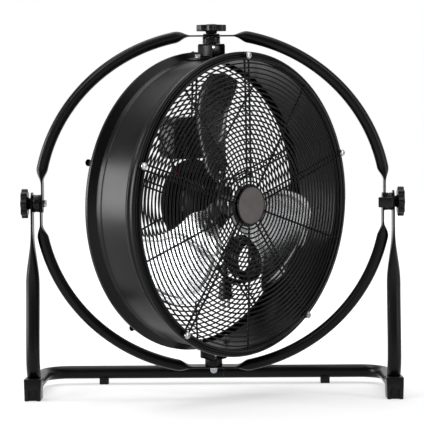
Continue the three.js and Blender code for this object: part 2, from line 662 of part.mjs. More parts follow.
// A three-pin moulded plug that hangs from the coil's free end, pins down.
function mainsPlug() {
  const { relief, body } = plug;
  const taper = onZ(turned([[0, -relief - 1], [6.2, -relief - 1], [4.4, 0], [0, 0]], 12));
  const grip = new THREE.BoxGeometry(...body).translate(0, 0, -relief - body[2] / 2);
  const face = -relief - body[2];
  const blades = [-6.35, 6.35].map((x) => block(x - 0.75, x + 0.75, -5.5, 0.8, face - 15.9, face + 1));
  const earth = rod(2.4, v3(0, 6.5, face + 1), v3(0, 6.5, face - 16.5), 8);
  return join(taper, grip, ...blades, earth);
}

// ---- Assembly ----
function part(name, geometry, material, parent) {
  const made = new THREE.Mesh(geometry, material);
  made.name = name;
  parent.add(made);
  return made;
}

const sides = [["left", -1], ["right", 1]];
const fan = new THREE.Group();
const pivot = new THREE.Group(); // everything below is placed from the middle of the tilt axis
pivot.position.set(0, pivotBack, pivotHeight);
fan.add(pivot);

const ringGroup = new THREE.Group();
ringGroup.rotation.x = ringTilt;
pivot.add(ringGroup);
const drumGroup = new THREE.Group();
drumGroup.rotation.z = drumSwivel;
ringGroup.add(drumGroup);

const bushStart = ring.sideOuter + ring.stripHalf + gap;
const bushEnd = stand.stripX - stand.stripHalf - gap;
const knobStart = stand.stripX + stand.stripHalf + gap;
const headFace = ring.sideInner - ring.stripHalf - gap;
for (const [word, side] of sides) {
  part("stand_tube_" + word, standTube(side), blackPaint(), pivot);
  part("front_foot_" + word, frontFoot(side), blackPlastic(), pivot);
  part("rear_pad_" + word, rearPad(side), blackPlastic(), pivot);
  const outwards = (mesh, x) => {
    mesh.rotation.y = (side * Math.PI) / 2;
    mesh.position.x = side * x;
  };
  outwards(part("pivot_bolt_" + word, hexBolt(knobStart + 9 - headFace), zinc(), pivot), headFace);
  outwards(part("side_bush_" + word, plainBush(bushEnd - bushStart), blackPlastic(), pivot), bushStart);
  outwards(part("tilt_knob_" + word, handKnob(), blackPlastic(), pivot), knobStart);
}

part("hoop_upper", hoop(1, ring.sideOuter, ring.sideInner), blackPaint(), ringGroup);
part("hoop_lower", hoop(-1, ring.sideInner, ring.sideOuter), blackPaint(), ringGroup);
part("pivot_clip", pivotClip(), blackPlastic(), ringGroup);

const capBushStart = bracket.top + gap;
const capBushEnd = ring.capFlat - ring.stripHalf - gap;
const capOuter = ring.capFlat + ring.stripHalf + gap;
const washerThick = 2;
const capBush = () => plainBush(capBushEnd - capBushStart);
part("swivel_bush_top", capBush(), blackPlastic(), ringGroup).position.z = capBushStart;
part("swivel_washer", onZ(sleeve(bush.hole, 14.5, 0, washerThick, 18)), blackPlastic(), ringGroup)
  .position.z = capOuter;
const insideBracket = bracket.top - bracket.sheet - gap;
part("swivel_bolt_top", hexBolt(capOuter + washerThick + 9 - insideBracket), zinc(), ringGroup)
  .position.z = insideBracket;
part("swivel_knob", handKnob(), blackPlastic(), ringGroup).position.z = capOuter + washerThick + gap;
const hangDown = (mesh, z) => {
  mesh.rotation.x = Math.PI;
  mesh.position.z = -z;
};
const lowerBolt = hexBolt(capOuter + 8.4 - insideBracket);
hangDown(part("swivel_bush_bottom", capBush(), blackPlastic(), ringGroup), capBushStart);
hangDown(part("swivel_bolt_bottom", lowerBolt, zinc(), ringGroup), insideBracket);
hangDown(part("swivel_nut", domeNut(), zinc(), ringGroup), capOuter);

part("drum_shell", drumShell(), blackPaint(), drumGroup);
for (const [word, up] of [["top", 1], ["bottom", -1]]) {
  part("bracket_" + word, pivotBracket(up), blackPaint(), drumGroup);
  for (const [hand, side] of sides) {
    const line = bracketBoltLine(side, up);
    const screw = part("bracket_bolt_" + word + "_" + hand, bracketScrew(), zinc(), drumGroup);
    screw.quaternion.setFromUnitVectors(v3(0, 0, 1), line);
    screw.position.copy(line.clone().multiplyScalar(257.6));
  }
}

const frontRings = [108, 178];
const backRings = [118, 171];
part("front_guard", grille(frontRings, 38, 0, guard.frontCrown), blackPaint(), drumGroup)
  .position.y = drum.front - gap;
part("rear_guard", grille(backRings, 73, 60, guard.backCrown), blackPaint(), drumGroup)
  .position.y = drum.back + gap + guard.thick;
const badgeBack = drum.front - gap - guard.thick + guard.frontCrown - gap;
part("hub_badge", badge(), badgeGrey(), drumGroup).position.y = badgeBack;
screwAngles.forEach((a, k) => {
  const edgeCrown = guard.frontCrown * (1 - (drum.screwR - 6) ** 2 / guard.rimR ** 2);
  const screw = part("guard_screw_" + (k + 1), panScrew(), zinc(), drumGroup);
  screw.position.set(drum.screwR * Math.cos(rad(a)), drum.front - gap - guard.thick + edgeCrown - gap,
    drum.screwR * Math.sin(rad(a)));
});

part("motor_plate", motorPlate(), blackPaint(), drumGroup);
part("motor_can", motorCan(), blackPaint(), drumGroup);
part("motor_cover", motorCover(), blackPaint(), drumGroup);
part("stator_core", sleeve(40.5, 49, 14, 38, 24), steel(), drumGroup);
part("stator_winding", sleeve(31.5, 39.8, 9.5, 43.5, 24), copper(), drumGroup);
part("bearing_front", sleeve(motor.shaftR + gap, 13, -1.2, 5.7), steel(), drumGroup);
part("bearing_rear", sleeve(motor.shaftR + gap, 13, 42.4, 49.2), steel(), drumGroup);

part("motor_shaft", rod(motor.shaftR, v3(0, 48.8, 0), v3(0, hub.front - 9.5, 0), 16), steel(), drumGroup);
part("rotor_core", sleeve(motor.shaftR + gap, 30.5, 15, 37, 24), steel(), drumGroup);
part("fan_hub", fanHub(), steel(), drumGroup);
part("hub_nut", hubNut(), zinc(), drumGroup).position.y = hub.front - gap;
for (let k = 0; k < 3; k++)
  part("blade_" + (k + 1), fanBlade(), aluminium(), drumGroup).rotation.y = -rad(blade.first + 120 * k);

part("switch_box", switchBox(), blackPlastic(), drumGroup);
part("switch_lid", switchLid(), blackPlastic(), drumGroup);
part("rotary_switch", block(-14, 14, 62, box.face - 5 - gap, 106, 128), blackPlastic(), drumGroup);
part("capacitor", block(-36, -19, 56, 82, 92, 138), finish(0x9b9a92, 0.6, 0), drumGroup);
part("speed_dial", speedDial(), blackPlastic(), drumGroup).position.z = dial.centreZ;

part("cord_lead", sweep(leadRoute, 26, 8), cordBlack(), drumGroup);
part("cord_coil", coiledCord(), cordBlack(), drumGroup);
part("cord_tie", cordTie(), blackPlastic(), drumGroup);
const freeEnd = coilRoute(24).at(-1);
part("cord_plug", mainsPlug(), cordBlack(), drumGroup).position.set(freeEnd.x, freeEnd.y, freeEnd.z - gap);

console.log("least gap of the coil to itself: " + coilSelfGap().toFixed(2) + " mm");

export default fan;
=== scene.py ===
from math import atan, copysign, cos, exp, hypot, pi, radians, sin, sqrt

import bpy
from mathutils import Matrix, Vector


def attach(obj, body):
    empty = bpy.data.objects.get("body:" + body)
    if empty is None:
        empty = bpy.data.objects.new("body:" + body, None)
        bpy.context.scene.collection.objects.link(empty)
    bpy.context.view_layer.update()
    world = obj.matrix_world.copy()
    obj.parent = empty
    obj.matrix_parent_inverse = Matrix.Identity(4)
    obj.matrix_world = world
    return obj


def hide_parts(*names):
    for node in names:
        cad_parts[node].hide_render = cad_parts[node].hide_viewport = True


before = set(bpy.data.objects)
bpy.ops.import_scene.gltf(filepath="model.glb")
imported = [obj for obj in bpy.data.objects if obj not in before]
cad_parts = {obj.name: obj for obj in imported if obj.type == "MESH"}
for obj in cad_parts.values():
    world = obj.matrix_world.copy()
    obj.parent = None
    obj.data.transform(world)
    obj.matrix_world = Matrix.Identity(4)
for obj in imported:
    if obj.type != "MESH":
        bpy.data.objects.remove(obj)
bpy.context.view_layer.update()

turn = 2 * pi
mm = 0.001


def rotation(axis, angle):
    return Matrix.Rotation(angle, 4, axis)


def shift(x, y, z):
    return Matrix.Translation((x, y, z))


# Sizes are in millimetres in the frame of the stand, the ring or the drum, and placed() turns them
# into metres in the object's own frame. The drum's own frame has its front towards -Y. Angles in
# dictionaries and lists are in degrees, apart from the pose's and the camera's, which are in radians.
pose = {"pivot": (0, 15.8, 348), "tilt": 0.059, "swivel": 0.791}
standFrame = Matrix.Scale(mm, 4) @ shift(*pose["pivot"])
ringFrame = standFrame @ rotation("X", pose["tilt"])
drumFrame = ringFrame @ rotation("Z", pose["swivel"])
frames = {"stand": standFrame, "tilt_knob_left": standFrame, "tilt_knob_right": standFrame, "ring": ringFrame,
          "swivel_knob": ringFrame, "drum": drumFrame, "rotor": drumFrame, "speed_dial": drumFrame}
still = Matrix.Identity(4)
onZ = rotation("X", pi / 2)  # turns a piece spun about Y so that it points up
over = rotation("X", pi)  # turns a piece over, and one that looks forwards to the back
sides = {"left": -1, "right": 1}
ends = {"top": still, "bottom": over}
screwAngles = [18, 90, 162, 234, 306]  # degrees round the drum, seen from its front
spokeAngles = [54, 126, 198, 270, 342]
gap = 0.3


# Selects these pieces and nothing else; the first is the active one.
def pick(*pieces):
    bpy.ops.object.select_all(action="DESELECT")
    for piece in pieces:
        piece.select_set(True)
    bpy.context.view_layer.objects.active = pieces[0]


# Runs mesh operators, each with its settings, on all of a piece.
def edited(piece, *steps):
    pick(piece)
    bpy.ops.object.mode_set(mode="EDIT")
    bpy.ops.mesh.select_all(action="SELECT")
    for operator, settings in steps:
        operator(**settings)
    bpy.ops.object.mode_set(mode="OBJECT")
    return piece


def linked(name, data):
    made = bpy.data.objects.new(name, data)
    bpy.context.scene.collection.objects.link(made)
    return made


def meshFrom(name, points, edges, faces=()):
    data = bpy.data.meshes.new(name)
    data.from_pydata([tuple(p) for p in points], edges, faces)
    return linked(name, data)


def named(name):
    piece = bpy.context.object
    piece.name = name
    piece.data.name = name
    return piece


def tidyMesh(piece, reach=0.001):
    return edited(piece, (bpy.ops.mesh.remove_doubles, {"threshold": reach}),
                  (bpy.ops.mesh.normals_make_consistent, {"inside": False}))


def modified(piece, kind, **settings):
    pick(piece)
    modifier = piece.modifiers.new(kind.title(), kind)
    for key, value in settings.items():
        setattr(modifier, key, value)
    bpy.ops.object.modifier_apply(modifier=modifier.name)
    return piece


def bevelled(piece, width, segments=2, angle=35):
    if not width:
        return piece
    return modified(piece, "BEVEL", width=width, segments=segments, limit_method="ANGLE",
                    angle_limit=radians(angle))


# A closed profile of [radius, y] points, spun about the Y axis.
def spun(name, profile, steps, bevel=0.0):
    points = [(r, y, 0) for r, y in profile]
    edges = [(i, i + 1) for i in range(len(points) - 1)]
    if profile[0][0] > 0:
        edges.append((len(points) - 1, 0))
    piece = meshFrom(name, points, edges)
    edited(piece, (bpy.ops.mesh.spin, {"steps": steps, "angle": turn, "center": (0, 0, 0),
                                       "axis": (0, 1, 0)}))
    return bevelled(tidyMesh(piece), bevel)


# The same, spun about Z: a profile of [radius, z] points.
def upright(name, profile, steps):
    piece = spun(name, profile, steps)
    piece.data.transform(onZ)
    return piece


# A skin through rings of points, closed at each end.
def lofted(name, rings):
    count = len(rings[0])
    faces = []
    for i in range(len(rings) - 1):
        for k in range(count):
            a, b = i * count + k, i * count + (k + 1) % count
            faces.append((a, b, b + count, a + count))
    faces.append(tuple(reversed(range(count))))
    faces.append(tuple(range((len(rings) - 1) * count, len(rings) * count)))
    return tidyMesh(meshFrom(name, [p for ring in rings for p in ring], (), faces), 1e-5)


# A flat outline pushed along one direction.
def extruded(name, outline, push, bevel=0.0, segments=2, angle=35):
    piece = meshFrom(name, outline, (), [tuple(range(len(outline)))])
    edited(piece, (bpy.ops.mesh.extrude_region_move, {"TRANSFORM_OT_translate": {"value": push}}))
    return bevelled(tidyMesh(piece), bevel, segments, angle)


def box(name, low, high, bevel=0.0, segments=2):
    centre = [(a + b) / 2 for a, b in zip(low, high)]
    size = [b - a for a, b in zip(low, high)]
    bpy.ops.mesh.primitive_cube_add(size=1, location=centre, scale=size)
    bpy.ops.object.transform_apply(location=True, rotation=True, scale=True)
    return bevelled(named(name), bevel, segments)


def rod(name, radius, start, end, vertices, bevel=0.0):
    start, end = Vector(start), Vector(end)
    bpy.ops.mesh.primitive_cylinder_add(vertices=vertices, radius=radius, depth=(end - start).length)
    piece = named(name)
    piece.data.transform(facing((start + end) / 2, end - start))
    return bevelled(piece, bevel)


# A round wire through points: a curve with a round section, made a mesh.
def wire(name, points, radius, rounds=3):
    data = bpy.data.curves.new(name, "CURVE")
    data.dimensions = "3D"
    data.bevel_depth = radius
    data.bevel_resolution = rounds
    data.use_fill_caps = True
    line = data.splines.new("POLY")
    line.points.add(len(points) - 1)
    for point, place in zip(line.points, points):
        point.co = (*place, 1)
    pick(linked(name, data))
    bpy.ops.object.convert(target="MESH")
    return bpy.context.object


def joined(name, pieces):
    pick(*pieces)
    bpy.ops.object.join()
    return named(name)


def copyOf(piece, matrix, name=None):
    made = linked(name or piece.name, piece.data.copy())
    made.data.transform(matrix)
    return made


def remove(*pieces):
    for piece in pieces:
        bpy.data.objects.remove(piece)


# Copies of a piece at each place; the piece itself goes.
def repeated(piece, places):
    copies = [copyOf(piece, place) for place in places]
    remove(piece)
    return copies


def shaped(piece, operation, *tools):
    for tool in tools:
        modified(piece, "BOOLEAN", operation=operation, object=tool, solver="EXACT")
        remove(tool)
    return piece


def less(piece, *tools):
    return shaped(piece, "DIFFERENCE", *tools)


# Gives a piece the material of its finish and its body, and hides the CAD nodes that it stands for.
def dressed(piece, body, finish, *nodes, smooth=32):
    slot, material = finish
    piece.data.materials.clear()
    piece.data.materials.append(material)
    pick(piece)
    bpy.ops.object.shade_smooth_by_angle(angle=radians(smooth))
    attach(piece, body)
    if nodes:
        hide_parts(*nodes)
    return piece


# Takes a piece from the place it was made at to its place in its body's frame, and dresses it.
def placed(piece, body, finish, *nodes, at=still, smooth=32):
    piece.data.transform(frames[body] @ at)
    return dressed(piece, body, finish, *nodes, smooth=smooth)


# Copies of a piece at each place, numbered like the CAD nodes they stand for; the piece itself goes.
def scattered(piece, places, body, finish, node=None, smooth=32):
    for k, place in enumerate(places):
        number = str(k + 1)
        nodes = [node + "_" + number] if node else []
        placed(copyOf(piece, place, piece.name + "." + number), body, finish, *nodes, smooth=smooth)
    remove(piece)


def around(angle):
    return rotation("Y", -radians(angle))  # counter-clockwise seen from the drum's front


def facing(place, direction):
    turned = Vector(direction).to_track_quat("Z", "Y").to_matrix().to_4x4()
    return Matrix.Translation(place) @ turned


def ease(share):
    share = min(max(share, 0.0), 1.0)
    return share * share * (3 - 2 * share)


def mix(a, b, share):
    return a + (b - a) * share


# Points along a circle's arc, whose angles are in degrees.
def arc(x, z, radius, start, end, steps):
    angles = [radians(mix(start, end, k / steps)) for k in range(steps + 1)]
    return [(x + radius * cos(a), z + radius * sin(a)) for a in angles]


# A rectangle with one bend at its upper corners and another at its lower ones.
def roundedBox(left, right, low, high, upper, lower, steps):
    corners = ((right - upper, high - upper, upper, 0), (left + upper, high - upper, upper, 90),
               (left + lower, low + lower, lower, 180), (right - lower, low + lower, lower, 270))
    return [point for x, z, bend, start in corners for point in arc(x, z, bend, start, start + 90, steps)]


# The focal length is in pixels of a picture that is imageWide pixels wide, the sensor in millimetres
# and the nearest and farthest in metres.
camera = {"place": (22.7, -2973.0, 75.3), "yaw": 0.008, "pitch": -0.031, "roll": 0.007, "focal": 1682.2,
          "imageWide": 424, "sensor": 36, "nearest": 0.1, "farthest": 50}


def makeCamera():
    c = camera
    data = bpy.data.cameras.new("camera")
    data.sensor_width = c["sensor"]
    data.lens = c["focal"] / c["imageWide"] * c["sensor"]
    data.clip_start, data.clip_end = c["nearest"], c["farthest"]
    made = linked("camera", data)
    aim = (rotation("Z", c["yaw"]) @ rotation("X", c["pitch"])
           @ rotation("Y", c["roll"]) @ rotation("X", pi / 2))
    made.matrix_world = Matrix.Translation((Vector(c["place"]) + Vector(pose["pivot"])) * mm) @ aim
    bpy.context.scene.camera = made


makeCamera()
print("camera placed")


def colour(value):
    channels = [int(value[i:i + 2], 16) / 255 for i in (1, 3, 5)]
    linear = [c / 12.92 if c <= 0.04045 else ((c + 0.055) / 1.055) ** 2.4 for c in channels]
    return (*linear, 1.0)


def grey(level):
    return (level, level, level, 1.0)


# Adds one node. A setting is an input of the node or a property of it; stops are a ramp's colours.
def addNode(material, kind, settings=None, links=None, stops=()):
    node = material.node_tree.nodes.new("ShaderNode" + kind)
    for key, value in (settings or {}).items():
        if key in node.inputs:
            node.inputs[key].default_value = value
        else:
            setattr(node, key, value)
    for key, source in (links or {}).items():
        material.node_tree.links.new(source, node.inputs[key])
    for i, (at, value) in enumerate(stops):
        element = node.color_ramp.elements[i] if i < 2 else node.color_ramp.elements.new(at)
        element.position = at
        element.color = value
    return node.outputs


# A material with its shader's constants set, its shader, and where a point lies on its object.
def startMaterial(name, **settings):
    material = bpy.data.materials.new(name)
    material.use_nodes = True
    shader = material.node_tree.nodes["Principled BSDF"]
    for key, value in settings.items():
        shader.inputs[key.replace("_", " ")].default_value = value
    place = addNode(material, "TexCoord")["Object"]
    return material, shader, place


# Joins to one input a noise that drifts between two values, softly from start to end. The noise is
# the size of its features in metres, its detail and its own roughness.
def drift(material, socket, place, pattern, low, high, start=0.3, end=0.75):
    tone = colour if isinstance(low, str) else grey
    stops = [(start, tone(low)), (end, tone(high))]
    result = addNode(material, "ValToRGB", None, {"Fac": noise(material, place, *pattern)}, stops)["Color"]
    material.node_tree.links.new(result, socket)


def noise(material, place, size, detail, roughness=0.5):
    settings = {"Scale": 1 / size, "Detail": detail, "Roughness": roughness}
    return addNode(material, "TexNoise", settings, {"Vector": place})["Fac"]


# A material by its colour and roughness, each as drift takes it, and a relief's noise and its depth in
# metres. What is rolled has its roughness and relief drawn out by these shares.
def surface(name, base, rough, relief=None, rolled=(1.0, 1.0, 1.0), **settings):
    material, shader, place = startMaterial(name, **settings)
    along = addNode(material, "Mapping", {"Scale": rolled}, {"Vector": place})["Vector"]
    drift(material, shader.inputs["Base Color"], place, *base)
    drift(material, shader.inputs["Roughness"], along, *rough)
    if relief:
        pattern, depth = relief
        height = noise(material, along, *pattern)
        bump = addNode(material, "Bump", {"Distance": depth, "Strength": 1.0}, {"Height": height})
        material.node_tree.links.new(bump["Normal"], shader.inputs["Normal"])
    return material


# Injection-moulded ABS from a spark-eroded tool: an even fine grain and a dull, dry sheen. PVC,
# silicone and potting resin come out of such tools too, each with its own sheen.
def moulding(name, low, high, roughness, depth):
    grain = (0.001, 3.0)  # about 0.3 mm in the tool, drawn at 1 mm so that it shows close up
    return surface(name, ((0.025, 3.0), low, high), (grain, roughness - 0.08, roughness + 0.08, 0.3, 0.8),
                   (grain, depth * mm), Metallic=0.0, IOR=1.28)


# A metal with cloudy gloss: zinc plate is pale and bright, oiled bare steel darker and duller.
def cloudyMetal(name, low, high, smoothest, roughest, size):
    clouds = (size * mm, 5.0)
    return surface(name, (clouds, low, high, 0.3, 0.7), (clouds, smoothest, roughest), Metallic=1.0)


# Semi-gloss black polyester powder coat on steel, sprayed and baked: the film flows out with a fine
# orange peel that breaks up the highlight's edge, and handling dulls it in soft clouds. A matting agent
# takes most of its mirror gloss away, hence the low IOR.
clouds = (0.07, 4.0)
peel = (0.003, 1.0)  # real peel is about 1 mm across; 3 mm is the least that shows at this distance
powderCoat = surface("blackPowderCoat", (clouds, "#060606", "#0c0c0d"), (clouds, 0.26, 0.34, 0.25, 0.8),
                     (peel, 0.000006), Metallic=0.0, IOR=1.235)
# Rolled aluminium sheet, pressed to shape: fine streaks along the rolling direction and a satin gloss.
streaks = (0.0012, 4.0, 0.65)  # rolling lines are about 0.1 mm apart; 1.2 mm shows them in a close view
rolledAluminium = surface("rolledAluminium", ((0.045, 3.0), "#cfd1d3", "#e2e3e4"),
                          (streaks, 0.2, 0.32, 0.25, 0.8), (streaks, 0.000005), (0.04, 1.0, 1.0),
                          Metallic=1.0)
# Varnished copper windings: round wires side by side, so the rings shine along each turn.
turns = (0.0015, 2.0)
copper = surface("varnishedCopperWire", (turns, "#8a4722", "#b06a38", 0.3, 0.7), (turns, 0.35, 0.5, 0.3, 0.7),
                 Metallic=1.0, Coat_Weight=0.4, Coat_Roughness=0.2)
# Grey satin enamel on a thin pressed disc: smooth, with a slow drift of tone.
tones = (0.02, 3.0)
greyEnamel = surface("greyEnamel", (tones, "#463f3f", "#504949"), (tones, 0.38, 0.46, 0.25), Metallic=0.0,
                     IOR=1.4)

# A finish is the frame's slot and the material that stands for it.
coat = ("black_powder_coat", powderCoat)
plastic = ("black_plastic", moulding("mouldedAbs", "#080809", "#0f0f10", 0.32, 0.02))
sheath = ("cord_jacket", moulding("softPvcSheath", "#0a0a0b", "#101011", 0.26, 0.01))
redSheath = ("cord_jacket", moulding("redSiliconeSheath", "#a3201c", "#b92a22", 0.45, 0.01))
dialInk = ("black_plastic", moulding("paleDialInk", "#b9b9b6", "#c6c6c3", 0.6, 0.01))
caseResin = moulding("greyResinCase", "#96958d", "#a3a29a", 0.55, 0.02)
zinc = ("zinc_steel", cloudyMetal("zincPlatedSteel", "#9a9da2", "#bfc2c6", 0.2, 0.34, 3))
steel = ("bare_steel", cloudyMetal("bareSteel", "#6f7072", "#909194", 0.34, 0.5, 6))
nutSteel = ("zinc_steel", steel[1])
aluminium = ("blade_aluminium", rolledAluminium)
enamel = ("badge_enamel", greyEnamel)
print("materials made")

cord = {"radius": 3.5, "pitch": 7.6, "loops": 6.75, "layers": 4, "middle": 35, "coilX": 150, "coilZ": -117,
        "firstLayer": 54.2, "length": 1.777}
gland = {"x": 22, "y": 70, "tip": 57}
leadPoints = [(gland["x"], gland["y"], gland["tip"] - gap), (gland["x"], gland["y"], gland["tip"] - 15),
              (23, 69.5, 22), (26, 68.5, 0), (30.5, 67, -24), (36.5, 64.8, -50), (44, 62, -76),
              (54, 59, -101), (66, 56.6, -123), (81, 55, -141), (99, 54.3, -153.5)]
coilSpread = cord["pitch"] * cord["loops"] / cord["layers"] / 2
coilInner, coilOuter = cord["middle"] - coilSpread, cord["middle"] + coilSpread


def between(points, share):
    count = len(points)
    i = min(int((count - 1) * share), count - 2)
    t = (count - 1) * share - i
    near = [points[min(max(k, 0), count - 1)] for k in (i - 1, i, i + 1, i + 2)]
    return tuple(0.5 * (2 * b + (c - a) * t + (2 * a - 5 * b + 4 * c - d) * t * t
                        + (3 * b - a - 3 * c + d) * t ** 3) for a, b, c, d in zip(*near))


# The coil spirals in and out through its layers and climbs where the spiral reverses.
def coilPoints(perLoop):
    perLayer = cord["loops"] / cord["layers"]
    climb = 0.25 / perLayer
    points = []
    for i in range(round(cord["loops"] * perLoop) + 1):
        along = i / perLoop / perLayer
        layer = min(int(along), cord["layers"] - 1)
        share = along - layer
        inward = share if layer % 2 == 0 else 1 - share
        radius = mix(coilOuter, coilInner, inward)
        height = float(layer)
        if share > 1 - climb and layer < cord["layers"] - 1:
            height += (share - 1 + climb) / (2 * climb)
        if share < climb and layer > 0:
            height -= (climb - share) / (2 * climb)
        a = -pi / 2 + turn * i / perLoop
        points.append((cord["coilX"] + radius * cos(a), cord["firstLayer"] + cord["pitch"] * height,
                       cord["coilZ"] + radius * sin(a)))
    return points


def cordRoute():
    low = cord["coilZ"] - coilOuter
    entry = [(x, cord["firstLayer"], low) for x in (118, 130, cord["coilX"] - 2 * cord["radius"] - gap)]
    lead = [between(leadPoints + entry, i / 90) for i in range(91)]
    coil = coilPoints(48)
    last = coil[-1]
    return lead + coil + [(last[0], last[1], last[2] - 2 * cord["radius"])]


cordLine = [drumFrame @ Vector(p) for p in cordRoute()]
cordEnd = Vector(cordRoute()[-1])
mainsCord = wire("mainsCord", cordLine, cord["radius"] * mm, 5)
dressed(mainsCord, "drum", sheath, "cord_lead", "cord_coil", smooth=60)

# The grip's waist lists shares of its height with the shares of its width and thickness there.
plug = {"relief": 36, "wide": 26, "thick": 22, "tall": 30, "ribs": 7, "bladeX": 6.35, "bladeHalf": 0.75,
        "bladeOut": 15.9, "pinR": 2.4, "pinY": 6.5, "pinOut": 16.5, "squareness": 0.45,
        "waist": ((0, 0.62, 0.66), (0.08, 0.78, 0.8), (0.3, 0.9, 0.88), (0.55, 0.82, 0.8), (0.8, 0.94, 0.94),
                  (0.93, 1, 1), (1, 0.96, 0.96))}
tie = {"wide": 3.6, "thick": 1.2, "front": 42.8, "back": 83.2, "low": -95.5, "high": -58.4, "bend": 5}


# The moulded plug hangs from the coil's end: a ribbed sleeve, a waisted grip, two blades and a pin.
def makePlug():
    p = plug
    ribs = [(0, 0), (4.4, 0)]
    for i in range(p["ribs"]):
        low, high = -p["relief"] * (i + 0.35) / p["ribs"], -p["relief"] * (i + 0.8) / p["ribs"]
        radius = mix(4.5, 6.3, (i + 1) / p["ribs"])
        ribs += [(radius, low + 0.6), (radius, high + 0.6), (radius - 0.9, high), (radius - 0.9, high - 0.9)]
    ribs += [(6.2, -p["relief"]), (0, -p["relief"])]
    rings = []
    for share, wide, thick in p["waist"]:
        z = -p["relief"] + 0.4 - (p["tall"] + 0.4) * share
        ring = []
        for k in range(32):
            c, s = cos(turn * k / 32), sin(turn * k / 32)
            ring.append((p["wide"] / 2 * wide * copysign(abs(c) ** p["squareness"], c),
                         p["thick"] / 2 * thick * copysign(abs(s) ** p["squareness"], s), z))
        rings.append(ring)
    body = joined("plugBody", [upright("plugSleeve", ribs, 28),
                               bevelled(lofted("plugGrip", rings), 0.8, 2, 60)])
    face = -p["relief"] - p["tall"]
    pins = [box("pin", (x - p["bladeHalf"], -5.5, face - p["bladeOut"]), (x + p["bladeHalf"], 0.8, face + 1),
                0.35) for x in (-p["bladeX"], p["bladeX"])]
    pins.append(rod("pin", p["pinR"], (0, p["pinY"], face - p["pinOut"]), (0, p["pinY"], face + 1), 20, 0.8))
    where = shift(cordEnd.x, cordEnd.y, cordEnd.z - gap)
    return (placed(body, "drum", sheath, "cord_plug", at=where),
            placed(joined("plugPins", pins), "drum", zinc, at=where))


def makeTie():
    t = tie
    x = cord["coilX"] - t["wide"] / 2

    def outline(inset, x):
        inside = roundedBox(t["front"] + inset, t["back"] - inset, t["low"] + inset, t["high"] - inset,
                            t["bend"] - inset, t["bend"] - inset, 6)
        return [(x, y, z) for y, z in inside]

    strap = extruded("tieStrap", outline(0, x), (t["wide"], 0, 0))
    strap = less(strap, extruded("tieInside", outline(t["thick"], x - 1), (t["wide"] + 2, 0, 0)))
    bevelled(strap, 0.25)
    head = box("tieHead", (x - 1, t["back"] - 0.6, -82), (x + t["wide"] + 1, t["back"] + 3, -76), 0.7)
    tail = box("tieTail", (x, t["back"] + 0.4, -98), (x + t["wide"], t["back"] + 1.5, -76), 0.4)
    return placed(joined("cordTie", [strap, head, tail]), "drum", plastic, "cord_tie")


plugBody, plugPins = makePlug()
cordTie = makeTie()
print("cord made")

stand = {"tubeR": 12.2, "stripX": 319.1, "legX": 319.4, "lean": -10, "bendR": 55, "cornerR": 48,
         "barBack": 205, "barZ": 22.4 - 348, "seamX": 17, "stripHalf": 1.5, "stripWide": 19, "stripTop": 20,
         "flatEnd": -39, "roundStart": -145, "seamGap": 0.06}
floorZ = -348


# One cross-section of a round tube that is pressed flat by the share flat.
def tubeSection(at, thin, wide, flat, radius, stripHalf, stripWide, count=40):
    ring = []
    for k in range(count):
        c, s = cos(turn * k / count), sin(turn * k / count)
        pressed = stripHalf * min(max(2.4 * c, -1), 1)
        ring.append(at + thin * mix(radius * c, pressed, flat) + wide * mix(radius * s, stripWide * s, flat))
    return ring


# Cross-sections from the flattened top of one leg, round the floor bends, to the rear bar's middle.
def legRings(side, grow=0.0, strip=True):
    s = stand
    outX, back, up = Vector((side, 0, 0)), Vector((0, 1, 0)), Vector((0, 0, 1))
    rings = []

    def add(x, y, z, thin, wide, flat=0.0, narrow=1.0):
        rings.append(tubeSection(Vector((side * x, y, z)), thin, wide, flat, s["tubeR"] + grow,
                                 s["stripHalf"], s["stripWide"] * narrow))

    if strip:
        middle = s["stripTop"] - s["stripWide"]
        for i in range(1, 13):
            a = pi / 2 * i / 12
            add(s["stripX"], 0, middle + s["stripWide"] * cos(a), outX, back, 1, sin(a))
        for i in range(1, 41):
            share = i / 40
            add(mix(s["stripX"], s["legX"], share), 0, mix(s["flatEnd"], s["roundStart"], share), outX, back,
                1 - ease(share))
    end = s["barZ"] + s["bendR"]
    for i in range(1, 13):
        add(s["legX"], s["lean"] * ease(i / 12), mix(s["roundStart"], end, i / 12), outX, back)
    for i in range(1, 17):
        a = pi / 2 * i / 16
        add(s["legX"], s["lean"] + s["bendR"] * (1 - cos(a)), s["barZ"] + s["bendR"] * (1 - sin(a)),
            outX, Vector((0, cos(a), sin(a))))
    for i in range(17):
        a = pi / 2 * i / 16
        add(s["legX"] - s["cornerR"] * (1 - cos(a)), s["barBack"] - s["cornerR"] * (1 - sin(a)),
            s["barZ"], Vector((side * cos(a), sin(a), 0)), up)
    if strip:
        for short in (3, 0):
            add(side * s["seamX"] + short + (s["seamGap"] if side > 0 else 0), s["barBack"], s["barZ"], back,
                up)
    return rings


foot = {"low": 14.2, "high": 15.3, "tall": 39, "front": -25, "back": 15, "archR": 7, "archTop": 13,
        "archDeep": 7}
pad = {"x": 209, "half": 8.6, "deep": 10.6, "top": -7, "cutHalf": 14}


